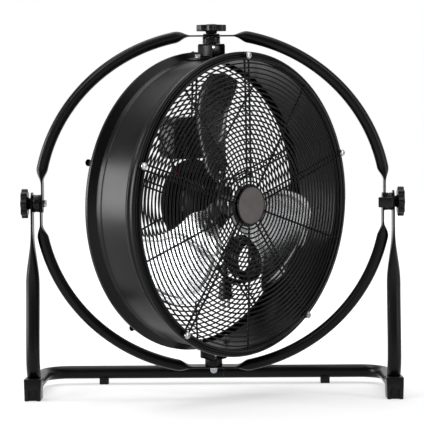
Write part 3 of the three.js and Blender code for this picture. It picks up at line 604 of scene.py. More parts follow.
# The shoe under a front bend: tapered, with softened edges and an arched recess in its front.
def makeFoot(word, side):
    f = foot
    x, front, back = side * stand["legX"], f["front"], f["back"]
    corners = [(x - f["low"], front, floorZ), (x + f["low"], front, floorZ),
               (x + f["high"], front, floorZ + f["tall"]), (x - f["high"], front, floorZ + f["tall"])]
    shoe = extruded("frontFoot." + word, corners, (0, back - front, 0), 1.6, 3)

    def arch(radius, y):
        crown = arc(x, floorZ + f["archTop"], radius, 0, 180, 15)
        return [(px, y, pz) for px, pz in [(x - radius, floorZ - 1), (x + radius, floorZ - 1)] + crown]

    recess = lofted("arch", [arch(f["archR"] + 3, front - 1), arch(f["archR"], front + 2),
                             arch(f["archR"], front + f["archDeep"])])
    shoe = less(shoe, recess, lofted("channel", legRings(side, gap, False)))
    screw = rod("footScrew", 3.4, (x, back - 1, floorZ + 30), (x, back + 1.4, floorZ + 30), 20, 0.6)
    placed(screw, "stand", zinc)
    placed(shoe, "stand", plastic, "front_foot_" + word)


def makePad(word, side):
    x, back, bar = side * pad["x"], stand["barBack"], stand["barZ"]
    saddle = box("rearPad." + word, (x - pad["half"], back - pad["deep"], floorZ),
                 (x + pad["half"], back + pad["deep"], bar + pad["top"]), 1.2, 3)
    cut = rod("bar", stand["tubeR"] + gap, (x - pad["cutHalf"], back, bar), (x + pad["cutHalf"], back, bar),
              48)
    placed(less(saddle, cut), "stand", plastic, "rear_pad_" + word)


def makeStand():
    for word, side in sides.items():
        tube = bevelled(lofted("standTube." + word, legRings(side)), 0.5, 2, 60)
        placed(tube, "stand", coat, "stand_tube_" + word, smooth=50)
        makeFoot(word, side)
        makePad(word, side)


makeStand()
print("stand made")

# The strips at the sides and caps are flat for this length each way and round again over roundOver.
ring = {"halfWide": 307, "halfTall": 297, "tubeR": 10.1, "stripHalf": 1.3, "stripWide": 15.5, "outer": 303.5,
        "inner": 300.6, "cap": 292.9, "end": 3.1, "sideFlat": 34, "capFlat": 36, "roundOver": 28}


def hoopRings(half, rightX, leftX):
    r = ring
    ends = [r["end"] * cos(radians(a)) for a in range(4, 90, 8)]
    degrees = [-e for e in ends] + [i / 2 for i in range(361)] + [180 + e for e in reversed(ends)]
    rings = []
    for degree in degrees:
        past = max(-degree, degree - 180, 0) / r["end"]
        a = radians(degree * half)
        ex, ez = r["halfWide"] * cos(a), r["halfTall"] * sin(a)
        sideFlat = ease(1 - (abs(ez) - r["sideFlat"]) / r["roundOver"])
        capFlat = ease(1 - (abs(ex) - r["capFlat"]) / r["roundOver"])
        x = mix(ex, rightX if ex > 0 else -leftX, sideFlat)
        z = mix(ez, copysign(r["cap"], ez), capFlat)
        thin = Vector((cos(a), 0, sin(a)))
        thin = thin.lerp(Vector((copysign(1, ex), 0, 0)), sideFlat)
        thin = thin.lerp(Vector((0, 0, copysign(1, ez))), capFlat).normalized()
        rings.append(tubeSection(Vector((x, 0, z)), thin, Vector((0, 1, 0)), max(sideFlat, capFlat),
                                 r["tubeR"], r["stripHalf"], r["stripWide"] * sqrt(1 - past * past), 56))
    return rings


def makeHoops():
    for word, half, rightX, leftX in (("upper", 1, ring["outer"], ring["inner"]),
                                      ("lower", -1, ring["inner"], ring["outer"])):
        hoop = lofted("hoop." + word, hoopRings(half, rightX, leftX))
        placed(hoop, "ring", coat, "hoop_" + word, smooth=50)
    middle = stand["stripX"] - stand["stripHalf"] - gap - 13
    clip = box("pivotClip", (middle - 13, -ring["stripWide"] - gap - 9, -9),
               (middle + 13, -ring["stripWide"] - gap, 9), 1.8, 3)
    placed(clip, "ring", plastic, "pivot_clip")


makeHoops()
print("ring made")

knob = {"radius": 26, "lobes": 8, "groove": 4.4, "head": 11.3, "neck": 5.6, "lowNeck": 4.1, "neckR": 11.5,
        "cap": 13, "points": 144}
bush = {"radius": 15.5, "hole": 4.5}
bolt = {"headR": 7.4, "headTall": 5.5, "shank": 4, "past": 9, "nutPast": 8.4, "chamfer": 2.1}


# The lobed hand knob along +Z: a stepped neck, a grooved head with rounded edges and a shallow cap.
def handKnob(name, neck):
    k = knob
    outline = []
    for i in range(k["points"]):
        a = turn * i / k["points"]
        reach = k["radius"] - k["groove"] * (0.5 - 0.5 * cos(k["lobes"] * a)) ** 1.3
        outline.append((reach * cos(a), reach * sin(a), neck))
    head = extruded("knobHead", outline, (0, 0, k["head"]), 1.6, 4, 50)
    top, cap = neck + k["head"], k["cap"]
    dish = upright("knobDish", [(0, top + 2), (cap + 3, top + 2), (cap + 3, top - 0.9), (cap, top - 0.9),
                                (0, top - 0.9)], 48)
    middle = upright("knobCap", [(0, top + 1.5), (6, top + 1.3), (cap - 2, top + 0.5), (cap - 0.6, top - 0.6),
                                 (cap - 0.6, top - 1.4), (0, top - 1.4)], 48)
    collar = upright("knobNeck", [(0, 0), (k["neckR"] - 2.4, 0), (k["neckR"] - 1.8, 0.6),
                                  (k["neckR"] - 1.2, 3.2), (k["neckR"] + 1.6, neck + 0.6), (0, neck + 0.6)],
                     48)
    return joined(name, [less(head, dish), middle, collar])


# A bush along +Z from z = 0: turned, with softened rims and a shallow groove round its middle.
def plainBush(name, length):
    r, hole = bush["radius"], bush["hole"]
    profile = [(hole, 0), (r - 0.5, 0), (r, 0.8), (r, length * 0.42), (r - 0.5, length * 0.46),
               (r - 0.5, length * 0.54), (r, length * 0.58), (r, length - 0.8), (r - 0.5, length),
               (hole, length)]
    return upright(name, profile, 56)


# A hex head that ends at z = 0, with its corners chamfered, over a shank up to z = length.
def hexBolt(name, length):
    b = bolt
    head = rod("head", b["headR"], (0, 0, -b["headTall"]), (0, 0, 0), 6, 0.25)
    low, wide = -b["headTall"] - 0.5, b["headR"] + 0.1
    cone = upright("cone", [(0, low), (b["headR"] - b["chamfer"], low), (wide, low + b["chamfer"]), (wide, 1),
                            (0, 1)], 48)
    shank = rod("shank", b["shank"], (0, 0, -0.5), (0, 0, length), 24, 0.5)
    return joined(name, [tidyMesh(shaped(head, "INTERSECT", cone), 0.03), shank])


def makePivots():
    s, r = stand, ring
    headFace = r["inner"] - r["stripHalf"] - gap
    bushStart = r["outer"] + r["stripHalf"] + gap
    bushEnd = s["stripX"] - s["stripHalf"] - gap
    knobStart = s["stripX"] + s["stripHalf"] + gap
    for word, side in sides.items():
        outwards = rotation("Y", side * pi / 2)
        placed(hexBolt("pivotBolt." + word, knobStart + bolt["past"] - headFace), "stand", zinc,
               "pivot_bolt_" + word, at=outwards @ shift(0, 0, headFace))
        placed(plainBush("sideBush." + word, bushEnd - bushStart), "stand", plastic, "side_bush_" + word,
               at=outwards @ shift(0, 0, bushStart))
        placed(handKnob("tiltKnob." + word, knob["neck"]), "tilt_knob_" + word, plastic, "tilt_knob_" + word,
               at=outwards @ shift(0, 0, knobStart))


bracket = {"half": 17, "deep": 34, "sheet": 2.5, "top": 279, "flange": 45, "boltX": 33,
           "boltZ": 252.3, "boltR": 257.5, "seat": 254.3, "bend": 3.6}
washer = {"radius": 14.5, "thick": 2}


def makeSwivel():
    r, b, hole, rim, thick = ring, bracket, bush["hole"], washer["radius"], washer["thick"]
    start, end = b["top"] + gap, r["cap"] - r["stripHalf"] - gap
    outer, inside = r["cap"] + r["stripHalf"] + gap, b["top"] - b["sheet"] - gap
    for word, flip in ends.items():
        placed(plainBush("swivelBush." + word, end - start), "ring", plastic, "swivel_bush_" + word,
               at=flip @ shift(0, 0, start))
    disc = upright("swivelWasher", [(hole, 0), (rim - 0.4, 0), (rim, 0.4), (rim, thick - 0.4),
                                    (rim - 0.4, thick), (hole, thick)], 48)
    placed(disc, "ring", plastic, "swivel_washer", at=shift(0, 0, outer))
    for word, reach in (("top", thick + bolt["past"]), ("bottom", bolt["nutPast"])):
        placed(hexBolt("swivelBolt." + word, outer + reach - inside), "ring", zinc, "swivel_bolt_" + word,
               at=ends[word] @ shift(0, 0, inside))
    placed(handKnob("swivelKnob", knob["lowNeck"]), "swivel_knob", plastic, "swivel_knob",
           at=shift(0, 0, outer + thick + gap))
    nut = rod("domeNut", 7.2, (0, 0, 0), (0, 0, 5.2), 6, 0.5)
    dome = upright("dome", [(0, 11.2), (2.4, 10.8), (4.6, 9.3), (5.7, 7.2), (6, 5), (0, 5)], 40)
    nut = joined("domeNut", [less(nut, rod("hole", 4.6, (0, 0, -1), (0, 0, 4.5), 24)), dome])
    placed(nut, "ring", zinc, "swivel_nut", at=over @ shift(0, 0, outer))


makePivots()
makeSwivel()
print("pivots made")

drum = {"rimR": 265, "barrelR": 254, "wall": 1.5, "mouthR": 250, "front": -83.2, "back": 38.2,
        "screwR": 258.5, "beadAt": -57.5, "beadTall": 1.8, "grooveAt": 8, "grooveDeep": 0.6,
        "beadWide": 3.2, "curls": ((252.4, 2.4, 1.6), (257.0, 2.0, 1.3), (261.6, 3.4, 3.4))}


# The rim's face from its mouth outwards: an inner curl, a low bead and the rolled outer edge.
def rolledRim(face, inwards):
    points = []
    for centre, size, rise in drum["curls"]:
        for k in range(9):
            a = radians(180 - 22.5 * k)
            points.append((centre + size * cos(a), face + inwards * rise * (1 - sin(a))))
    return points


def makeDrum():
    d = drum
    barrel, rim, mouth = d["barrelR"], d["rimR"], d["mouthR"]
    front, back, wall = d["front"], d["back"], d["wall"]
    bead = [(barrel + d["beadTall"] * exp(-((y - d["beadAt"]) / d["beadWide"]) ** 2), y)
            for y in range(-67, -48)]
    groove = [(barrel - d["grooveDeep"] * exp(-((k / 2) ** 2)), d["grooveAt"] + k / 2) for k in range(-4, 5)]
    outside = (rolledRim(front, 1) + [(rim, front + 6.2), (barrel, front + 13.2)] + bead + groove
               + [(barrel, 20), (rim, 31)] + rolledRim(back, -1)[::-1])
    inside = [(mouth, back - wall), (rim - 3, back - wall), (rim - 3, 31.6), (barrel - wall, 20.6),
              (barrel - wall, front + 13.8), (rim - 3, front + 6.8), (rim - 3, front + wall),
              (mouth, front + wall)]
    placed(spun("drumShell", outside + inside, 192), "drum", coat, "drum_shell", smooth=40)


# A hat-shaped strap bent from sheet, its feet following the barrel, with a rounded crown.
def makeBrackets():
    b = bracket
    half, sheet, top, bend, flange = b["half"], b["sheet"], b["top"], b["bend"], b["flange"]

    def barrel(x, out):
        return sqrt((b["seat"] + out) ** 2 - x * x)

    feet = (half + 3, half + 10, half + 18, flange - 2, flange)
    right = [(half - sheet, b["seat"] + 0.3)] + [(x, barrel(x, 0)) for x in feet]
    right += [(x, barrel(x, sheet)) for x in reversed(feet)] + [(half, barrel(half, sheet) + 1.5)]
    right += arc(half - bend, top - bend, bend, 0, 90, 6)
    inner = arc(half - bend, top - bend, bend - sheet, 90, 0, 6)
    outline = right + [(-x, z) for x, z in reversed(right)] + [(-x, z) for x, z in reversed(inner)] + inner
    strap = extruded("bracket", [(x, -b["deep"] / 2, z) for x, z in outline], (0, b["deep"], 0), 0.6, 2)
    collar = upright("flange", [(0, -4), (3, -4), (3, 0), (6.4, 0), (6.4, 0.9), (5.8, 1.4), (0, 1.4)], 32)
    head = rod("head", 5.6, (0, 0, 1.2), (0, 0, 5), 6, 0.5)
    screw = joined("bracketScrew", [collar, less(head, rod("cup", 3.4, (0, 0, 4.2), (0, 0, 6), 24))])
    for word, flip in ends.items():
        placed(copyOf(strap, flip, "bracket." + word), "drum", coat, "bracket_" + word)
        for hand, side in sides.items():
            line = Vector((side * b["boltX"], 0, flip[2][2] * b["boltZ"])).normalized()
            one = copyOf(screw, facing(line * b["boltR"], line), "bracketScrew.%s.%s" % (word, hand))
            placed(one, "drum", zinc, "bracket_bolt_%s_%s" % (word, hand))
            nut = joined("bracketNut.%s.%s" % (word, hand), [rod("nut", 6, (0, 0, -5), (0, 0, 0), 6, 0.5),
                                                             rod("end", 3, (0, 0, -10), (0, 0, -3), 20, 0.5)])
            placed(nut, "drum", nutSteel, at=facing(line * (drum["barrelR"] - drum["wall"] - gap), line))
    remove(strap, screw)


makeDrum()
makeBrackets()
print("drum made")

# The radial wires lie behind the rings by this share of both radii, so that they run into them.
guard = {"wireR": 1.5, "spokeR": 1.8, "rimWireR": 2.2, "ringPitch": 8.15, "rimRing": 253.2, "pair": 4.9,
         "radius": 263, "frontY": -87.0, "backY": 42.1, "frontCrown": -4.5, "backCrown": 9,
         "frontFirst": 41.5, "backFirst": 83.8, "frontCore": 30, "backCore": 66, "behind": 0.68}


def crownAt(base, crown, radius):
    return base + crown * (1 - (radius / guard["radius"]) ** 2)


def hoopWire(radius, thick, y, steps, rounds):
    bpy.ops.mesh.primitive_torus_add(major_segments=steps, minor_segments=rounds, major_radius=radius,
                                     minor_radius=thick, rotation=(pi / 2, 0, 0), location=(0, y, 0))
    bpy.ops.object.transform_apply(location=True, rotation=True, scale=True)
    return named("hoopWire")


# A cage of welded wires: rings in front, single radial wires and hairpin pairs behind them. The
# hairpins turn back round the fixing screws.
def cage(name, base, crown, behind, first, core):
    g = guard
    wires = []
    radius = first
    while radius < g["rimRing"] - 4:
        wires.append(hoopWire(radius, g["wireR"], crownAt(base, crown, radius), 132, 8))
        radius += g["ringPitch"]
    wires.append(hoopWire(g["rimRing"], g["rimWireR"], crownAt(base, crown, g["rimRing"]) + behind * 0.6, 144,
                          10))
    lift = behind * g["behind"] * (g["wireR"] + g["spokeR"])

    def along(reach, offset):
        return reach, crownAt(base, crown, reach) + lift, offset

    spoke = [along(mix(core, g["rimRing"], i / 16), 0) for i in range(17)]
    wires += repeated(wire("spoke", spoke, g["spokeR"], 2), [around(degree) for degree in spokeAngles])
    screwR, half = drum["screwR"] - 1, g["pair"]
    out = [along(mix(core, screwR, i / 16), half) for i in range(17)]
    bend = [along(screwR + half * sin(a), half * cos(a)) for a in (pi * k / 10 for k in range(1, 10))]
    hairpin = wire("hairpin", out + bend + [(x, y, -z) for x, y, z in reversed(out)], g["spokeR"], 2)
    return joined(name, wires + repeated(hairpin, [around(degree) for degree in screwAngles]))


# A pan-head screw towards -Y with a crossed recess.
def panScrew(name):
    head = spun(name, [(0, 6), (1.8, 6), (1.8, 0), (6, 0), (6, -0.8), (5.1, -0.8), (5.2, -1.7), (4.6, -2.9),
                       (3.2, -3.6), (0, -3.8)], 36)
    return less(head, box("slotA", (-2.5, -5, -0.6), (2.5, -1.6, 0.6)),
                box("slotB", (-0.6, -5, -2.5), (0.6, -1.6, 2.5)))


def makeGuards():
    g = guard
    front = cage("frontGuard", g["frontY"], g["frontCrown"], 1, g["frontFirst"], g["frontCore"])
    core = spun("core", [(0, -89.9), (36.5, -89.9), (37.5, -89.4), (37.5, -88.6), (36.5, -88.3), (0, -88.3)],
                64)
    placed(joined("frontGuard", [front, core]), "drum", coat, "front_guard", smooth=60)
    rear = cage("rearGuard", g["backY"], g["backCrown"], -1, g["backFirst"], g["backCore"])
    core = spun("core", [(60, 48.4), (74, 48.0), (74.6, 48.6), (74.6, 49.4), (74, 49.9), (60, 50.3)], 64)
    placed(joined("rearGuard", [rear, core]), "drum", coat, "rear_guard", smooth=60)
    seat = crownAt(g["frontY"] - 2.6, g["frontCrown"], 252.5) - gap
    screw = panScrew("panScrew")
    for k, degree in enumerate(screwAngles):
        number = str(k + 1)
        place = around(degree) @ shift(drum["screwR"], seat, 0) @ rotation("Y", 0.6 + k)  # no two slots alike
        placed(copyOf(screw, place, "guardScrew." + number), "drum", zinc, "guard_screw_" + number)
        place = around(degree) @ shift(drum["screwR"] + 2, 46, 0) @ over
        placed(copyOf(screw, place, "rearScrew." + number), "drum", coat)
    remove(screw)


badge = {"radius": 34, "rim": 2.2, "back": -93.3, "thick": 3.2}


# A pressed disc with a dark moulded rim; its face is left plain.
def makeBadge():
    r, back, face = badge["radius"], badge["back"], badge["back"] - badge["thick"]
    inner = r - badge["rim"]
    disc = spun("badgeDisc", [(0, face + 0.2), (inner * 0.6, face + 0.3), (inner * 0.92, face + 0.6),
                              (inner - 0.2, face + 1), (inner - 0.2, back), (0, back)], 72)
    placed(disc, "drum", enamel, "hub_badge")
    rim = spun("badgeRim", [(inner, back), (r - 0.2, back), (r, back - 0.4), (r, back - 2),
                            (r - 0.7, face + 0.2), (inner + 0.5, face), (inner, face + 0.5)], 72)
    placed(rim, "drum", plastic)


makeGuards()
makeBadge()
print("guards made")

motor = {"radius": 52, "front": -4, "joint": 8, "back": 52.1, "plateR": 75, "plate": 52.4, "plateThick": 2.5,
         "shaftR": 5, "boltAt": 41.5, "plateBoltAt": 61}
quarters = [around(45 + 90 * k) for k in range(4)]


# A pressed can in two halves: a rolled joint, a stepped front with through-bolts, and a ribbed waist.
def makeMotor():
    m = motor
    can = spun("motorCan", [(0, m["back"]), (49, m["back"]), (m["radius"], m["back"] - 3), (m["radius"], 33),
                            (m["radius"] - 0.8, 32), (m["radius"] - 0.8, 21), (m["radius"], 20),
                            (m["radius"], m["joint"]), (50, m["joint"]), (50, 49.6), (17, 49.6), (17, 42),
                            (13.3, 42), (13.3, 49.6), (0, 49.6)], 96, 0.5)
    slots = repeated(box("slot", (46, 23, -5), (56, 30, 5), 1.5), [around(30 * k + 10) for k in range(12)])
    placed(less(can, joined("slots", slots)), "drum", coat, "motor_can")
    front = m["front"]
    cover = spun("motorCover", [(7, front), (18, front), (19, front + 1), (38, front + 1), (39, front),
                                (44, front), (m["radius"], front + 5), (m["radius"] + 0.6, m["joint"] - 2),
                                (m["radius"] + 0.6, m["joint"] - gap), (50, m["joint"] - gap), (50, 2),
                                (43, -1.5), (17, -1.5), (17, 6), (13.3, 6), (13.3, -1.5), (7, -1.5)], 96, 0.4)
    placed(cover, "drum", coat, "motor_cover")
    scattered(rod("motorBolt", 4.2, (0, 0.4, 0), (0, -3.2, 0), 6, 0.5),
              [quarter @ shift(m["boltAt"], front, 0) for quarter in quarters], "drum", zinc)
    shaft = rod("motorShaft", m["shaftR"], (0, -49.5, 0), (0, 48.8, 0), 40, 0.6)
    placed(shaft, "rotor", steel, "motor_shaft")


# The round plate behind the motor, with a pressed ring and its bolts, and the motor's lead.
def makePlate():
    m = motor
    low, high = m["plate"], m["plate"] + m["plateThick"]
    plate = spun("motorPlate", [(0, low), (m["plateR"], low), (m["plateR"], high - 0.2),
                                (m["plateR"] - 1, high + 0.6), (m["plateR"] - 4, high + 0.6),
                                (m["plateR"] - 6, high), (50, high), (47, high - 0.9), (0, high - 0.9)], 96,
                 0.4)
    placed(plate, "drum", coat, "motor_plate")
    head = joined("plateBolt", [rod("head", 5, (0, 0.2, 0), (0, 4.2, 0), 6, 0.5),
                                rod("washer", 6.6, (0, -0.2, 0), (0, 1, 0), 28, 0.3)])
    scattered(head, [quarter @ shift(m["plateBoltAt"], high, 0) for quarter in quarters], "drum", zinc)
    route = [(-37, 38, 36.5), (-46, 42, 49), (-50, 48, 61.5), (-46, 55, 72), (-38, 60, 81)]
    lead = [between(route, i / 24) for i in range(25)]
    placed(wire("motorLead", lead, 2), "drum", sheath)
    placed(wire("leadMarker", lead[7:10], 2.6), "drum", redSheath)


makeMotor()
makePlate()
print("motor made")

blade = {"lift": -25, "slope": 0.4, "camber": 3.5, "thick": 1.6, "first": 95, "rows": 130, "columns": 90,
         "armReach": 60, "ridge": 1.4, "ridgeWide": 3.2}
hub = {"radius": 17, "front": -40, "back": -8, "armWide": 26, "armThick": 3,
       "rivets": ((41, -6), (41, 6), (54, 0))}
thirds = [around(blade["first"] + 120 * k) for k in range(3)]
trailing = [(34, 12), (64, 50), (104, 68), (156, 77), (188, 68), (213, 44), (228.5, 8)]
leading = [(34, -12), (64, -26), (108, -30), (154, -48), (186, -84), (205, -94), (224, -50)]
crease = [(40, 13), (52, 30), (65, 44), (79, 54), (88, 48), (94, 27), (101, 2), (110, -15), (126, -27),
          (147, -37), (165, -53), (182, -74), (196, -85), (207, -78), (216, -50), (219.5, -22), (220, 3),
          (213, 24), (203, 42), (184, 61), (156, 69), (126, 67), (104, 61), (86, 53)]


def bladePoint(i, j):
    b = blade
    start, end = between(leading, i / b["rows"]), between(trailing, i / b["rows"])
    across = j / b["columns"]
    u, v = mix(start[0], end[0], across), mix(start[1], end[1], across)
    rise = ease((u - b["armReach"] - 4) / 60)
    return Vector((u, b["lift"] - b["slope"] * v + b["camber"] * rise * (1 - (2 * across - 1) ** 2), v))


def distanceTo(line, u, v):
    best = 1e9
    for (ax, az), (bx, bz) in zip(line, line[1:]):
        dx, dz = bx - ax, bz - az
        t = min(max(((u - ax) * dx + (v - az) * dz) / (dx * dx + dz * dz + 1e-9), 0), 1)
        best = min(best, hypot(u - ax - t * dx, v - az - t * dz))
    return best


# A pressed blade: a cambered sheet with a raised crease that runs up from the root, crosses the
# blade and follows its edge all round.
def makeBlades():
    b = blade
    line = [between(crease, i / 92) for i in range(93)]
    points = []
    for i in range(b["rows"] + 1):
        for j in range(b["columns"] + 1):
            p = bladePoint(i, j)
            p.y -= b["ridge"] * exp(-(distanceTo(line, p.x, p.z) / b["ridgeWide"]) ** 2)
            points.append(p)
    width = b["columns"] + 1
    faces = [(i * width + j, i * width + j + 1, (i + 1) * width + j + 1, (i + 1) * width + j)
             for i in range(b["rows"]) for j in range(b["columns"])]
    sheet = meshFrom("blade", points, (), faces)
    if sheet.data.polygons[0].normal.y > 0:
        sheet.data.flip_normals()
    modified(sheet, "SOLIDIFY", thickness=b["thick"], offset=-1)
    tidyMesh(sheet)
    scattered(sheet, thirds, "rotor", aluminium, "blade", smooth=50)


# The spider: a turned collar with three pitched arms, each riveted to the back of its blade.
def makeHub():
    h, b = hub, blade
    collar = spun("fanHub", [(5.3, h["front"]), (13, h["front"]), (14, h["front"] + 1), (14, -34),
                             (h["radius"], -32), (h["radius"], -12), (15, h["back"]), (5.3, h["back"])], 64,
                  0.4)
    pitch = atan(b["slope"])
    arm = box("arm", (12, -h["armThick"] / 2, -h["armWide"] / 2),
              (b["armReach"], h["armThick"] / 2, h["armWide"] / 2), 0.8)
    arm.data.transform(shift(0, b["lift"] + b["thick"] + (h["armThick"] / 2 + gap) / cos(pitch), 0)
                       @ rotation("X", pitch))
    placed(joined("fanHub", [collar] + repeated(arm, thirds)), "rotor", steel, "fan_hub")
    rivet = spun("rivet", [(0, -1.5), (1.6, -1.3), (2.9, -0.7), (3.5, 0), (3.5, 0.4), (0, 0.4)], 20)
    seats = [shift(u, b["lift"] - b["slope"] * v, v) @ rotation("X", pitch) for u, v in h["rivets"]]
    rivets = repeated(rivet, [third @ seat for third in thirds for seat in seats])
    placed(joined("bladeRivets", rivets), "rotor", aluminium)
    nut = rod("hubNut", 9.5, (0, -7, 0), (0, 0, 0), 6, 0.25)
    cone = spun("cone", [(0, -7.5), (7.1, -7.5), (9.6, -5.4), (9.6, 1), (0, 1)], 48)
    nut = less(tidyMesh(shaped(nut, "INTERSECT", cone), 0.03), rod("hole", 5.6, (0, -9, 0), (0, 2, 0), 32))
    placed(nut, "rotor", zinc, "hub_nut", at=shift(0, h["front"] - gap, 0))


makeBlades()
makeHub()
print("fan wheel made")

case = {"half": 42, "low": 75, "high": 150, "base": 52.1, "face": 88, "wall": 2.2, "lid": 3.5, "corner": 20,
        "foot": 14, "screwSize": 0.62, "screws": ((-31.5, 139.5), (31.5, 139.5), (-33.5, 83.5), (33.5, 83.5))}
dial = {"radius": 17, "tall": 15, "z": 116, "numbersR": 25.5, "numberSize": 8, "step": 45}


def roundedPlate(y, inset=0.0):
    c = case
    return [(x, y, z) for x, z in roundedBox(inset - c["half"], c["half"] - inset, c["low"] + inset,
                                             c["high"] - inset, c["corner"] - inset, c["foot"] - inset, 9)]


# The switch box: a hollow moulding with a ribbed cord sleeve, and a lid with its screws.
def makeSwitchBox():
    c = case
    shell = extruded("switchBox", roundedPlate(c["base"]), (0, c["face"] - c["base"], 0), 1.2, 3)
    inside = extruded("inside", roundedPlate(c["base"] + c["wall"], c["wall"]),
                      (0, c["face"] - c["base"] + 2, 0))
    length = c["low"] - gland["tip"] + 1
    ribs = [(4.4, 0), (5, 0)]
    for i in range(4):
        base, reach = 1 + 3.6 * i, 5.3 + 0.45 * i
        ribs += [(reach, base), (reach + 0.2, base + 2.2), (reach - 0.9, base + 2.5),
                 (reach - 0.8, base + 3.5)]
    ribs += [(8, 15.5), (8, length), (4.4, length)]
    sleeve = upright("cordSleeve", ribs, 36)
    sleeve.data.transform(shift(gland["x"], gland["y"], gland["tip"]))
    placed(joined("switchBox", [less(shell, inside), sleeve]), "drum", plastic, "switch_box")
    start = c["face"] + gap
    lid = extruded("switchLid", roundedPlate(start), (0, c["lid"], 0), 0.9, 3)
    lid = less(lid, rod("hole", 4, (0, start - 2, dial["z"]), (0, start + 8, dial["z"]), 32))
    placed(lid, "drum", plastic, "switch_lid")
    heads = [shift(x, start + c["lid"], z) @ over @ Matrix.Scale(c["screwSize"], 4) for x, z in c["screws"]]
    scattered(panScrew("lidScrew"), heads, "drum", zinc)


# The dial: a skirted knob with a grip bar and a pale pointer line, and the speeds 0 to 3 round it.
def makeDial():
    d, face = dial, case["face"] + gap + case["lid"]
    start, r, centre = face + gap, d["radius"], shift(0, 0, d["z"])
    skirt = spun("speedDial", [(0, start), (r, start), (r, start + 3), (r - 0.8, start + 4.2),
                               (r - 3, start + 6), (0, start + 6.4)], 72)
    bar = box("bar", (-3.5, start + 4, 3 - r), (3.5, start + d["tall"], r - 3), 1.1, 3)
    spindle = rod("spindle", 3, (0, case["face"] - 5, 0), (0, start + 2, 0), 24)
    placed(joined("speedDial", [skirt, bar, spindle]), "speed_dial", plastic, "speed_dial", at=centre)
    top = start + d["tall"]
    pointer = box("dialPointer", (-0.7, top - 0.4, 1), (0.7, top + 0.25, r - 4.2), 0.2)
    placed(pointer, "speed_dial", dialInk, at=centre)
    facingBack = Matrix(((-1, 0, 0, 0), (0, 0, 1, 0), (0, 1, 0, 0), (0, 0, 0, 1)))
    for number in range(4):
        a = radians(d["step"] * number)
        bpy.ops.object.text_add()
        text = bpy.context.object.data
        text.body = str(number)
        text.size, text.extrude = d["numberSize"], 0.15
        text.align_x = text.align_y = "CENTER"
        bpy.ops.object.convert(target="MESH")
        place = shift(-d["numbersR"] * sin(a), face + 0.1, d["z"] + d["numbersR"] * cos(a))
        placed(named("dialNumber.%d" % number), "drum", dialInk, at=place @ facingBack)


makeSwitchBox()
makeDial()
print("switch box made")

# The CAD nodes that keep their shape are sealed inside the motor and the switch box.
sealed = {"stator_core": steel[1], "stator_winding": copper, "bearing_front": steel[1],
          "bearing_rear": steel[1], "rotor_core": steel[1], "rotary_switch": plastic[1],
          "capacitor": caseResin}
for nodeName, material in sealed.items():
    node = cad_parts[nodeName]
    node.data.materials.clear()
    node.data.materials.append(material)

# The studio's sizes are in metres and its powers in watts. A lamp is at a place and looks at the target.
light = {"left": {"place": (-2.7, 0.0, 0.68), "size": (0.85, 1.25), "power": 56},
         "right": {"place": (2.6, -1.4, 0.9), "size": (0.5, 1.6), "power": 20},
         "highLeft": {"place": (-1.7, -1.5, 2.0), "size": (0.9, 0.9), "power": 26},
         "highRight": {"place": (1.8, -0.9, 2.2), "size": (0.6, 1.2), "power": 15},
         "top": {"place": (-0.9, 0.9, 2.5), "size": (2.4, 0.5), "power": 15}}
target = Vector((0, 0, 0.35))
sun = {"power": 2.0, "wide": 70, "turned": (-5, -4, 0)}
floor = {"size": 30, "tone": 0.9, "roughness": 0.8, "glowFrom": 0.3, "glowTo": 1.1, "brightest": 1.6,
         "share": 0.5}
studio = {"fill": 0.4, "ceiling": 0.2, "nearSide": 0.3}


# A value's place between start and end, as a value between low and high.
def ranged(material, value, low, high, start=0.0, end=1.0):
    return addNode(material, "MapRange", {"From Min": start, "From Max": end, "To Min": low,
                                                    "To Max": high}, {"Value": value})["Result"]


def combined(material, operation, a, b, clamp=False):
    return addNode(material, "Math", {"operation": operation, "use_clamp": clamp}, {0: a, 1: b})["Value"]


# 1 for what the camera sees itself, in gloss or through glass, and 0 for what only lights the scene.
def seenDirectly(material):
    path = addNode(material, "LightPath")
    both = combined(material, "ADD", path["Is Camera Ray"], path["Is Glossy Ray"])
    return combined(material, "ADD", both, path["Is Transmission Ray"], True)


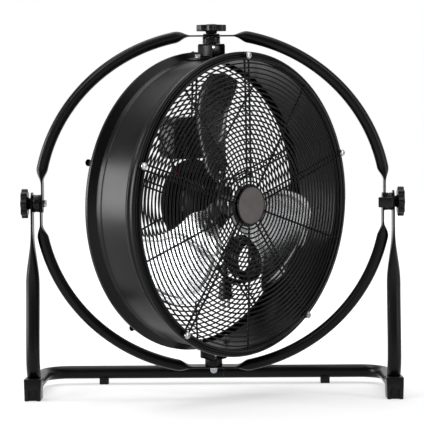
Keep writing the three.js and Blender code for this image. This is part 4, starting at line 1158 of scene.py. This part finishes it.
# A plain pale floor that keeps the fan's soft shadow and glows whiter further away, like the background.
def makeFloor():
    f = floor
    bpy.ops.mesh.primitive_plane_add(size=f["size"], location=(0, 0, 0))
    plane = named("floor")
    material, shader, place = startMaterial("paleFloor", Base_Color=grey(f["tone"]), Roughness=f["roughness"])
    away = addNode(material, "VectorMath", {"operation": "LENGTH"}, {0: place})["Value"]
    whiter = ranged(material, away, 1.0, f["brightest"], f["glowFrom"], f["glowTo"])
    glow = addNode(material, "Emission", {"Color": grey(1.0)}, {"Strength": whiter})["Emission"]
    seen = ranged(material, seenDirectly(material), 0.0, f["share"])
    blend = addNode(material, "MixShader", None, {0: seen, 1: shader.outputs[0], 2: glow})["Shader"]
    tree = material.node_tree
    tree.links.new(blend, tree.nodes["Material Output"].inputs["Surface"])
    plane.data.materials.append(material)


# Lights the scene by a white studio that is darker overhead and on the camera's side.
def makeWorld():
    world = bpy.data.worlds.new("studio")
    bpy.context.scene.world = world
    world.use_nodes = True
    background = world.node_tree.nodes["Background"]
    background.inputs["Color"].default_value = grey(1.0)
    shown = ranged(world, seenDirectly(world), studio["fill"], 1.0)
    direction = addNode(world, "TexCoord")["Generated"]
    split = addNode(world, "SeparateXYZ", None, {"Vector": direction})
    ceiling = ranged(world, split["Z"], 1.0, studio["ceiling"], 0.2, 0.8)
    front = ranged(world, split["Y"], studio["nearSide"], 1.0, -0.9, -0.2)
    level = combined(world, "MULTIPLY", shown, combined(world, "MULTIPLY", ceiling, front))
    world.node_tree.links.new(level, background.inputs["Strength"])


def makeLight():
    data = bpy.data.lights.new("overhead", "SUN")
    data.energy, data.angle = sun["power"], radians(sun["wide"])
    linked("overhead", data).rotation_euler = [radians(a) for a in sun["turned"]]
    for name, settings in light.items():
        data = bpy.data.lights.new(name + "Softbox", "AREA")
        data.shape = "RECTANGLE"
        data.size, data.size_y = settings["size"]
        data.energy = settings["power"]
        lamp = linked(name + "Softbox", data)
        lamp.location = settings["place"]
        lamp.rotation_euler = (target - lamp.location).to_track_quat("-Z", "Y").to_euler()


makeFloor()
makeWorld()
makeLight()
bpy.context.scene.view_settings.view_transform = "Standard"
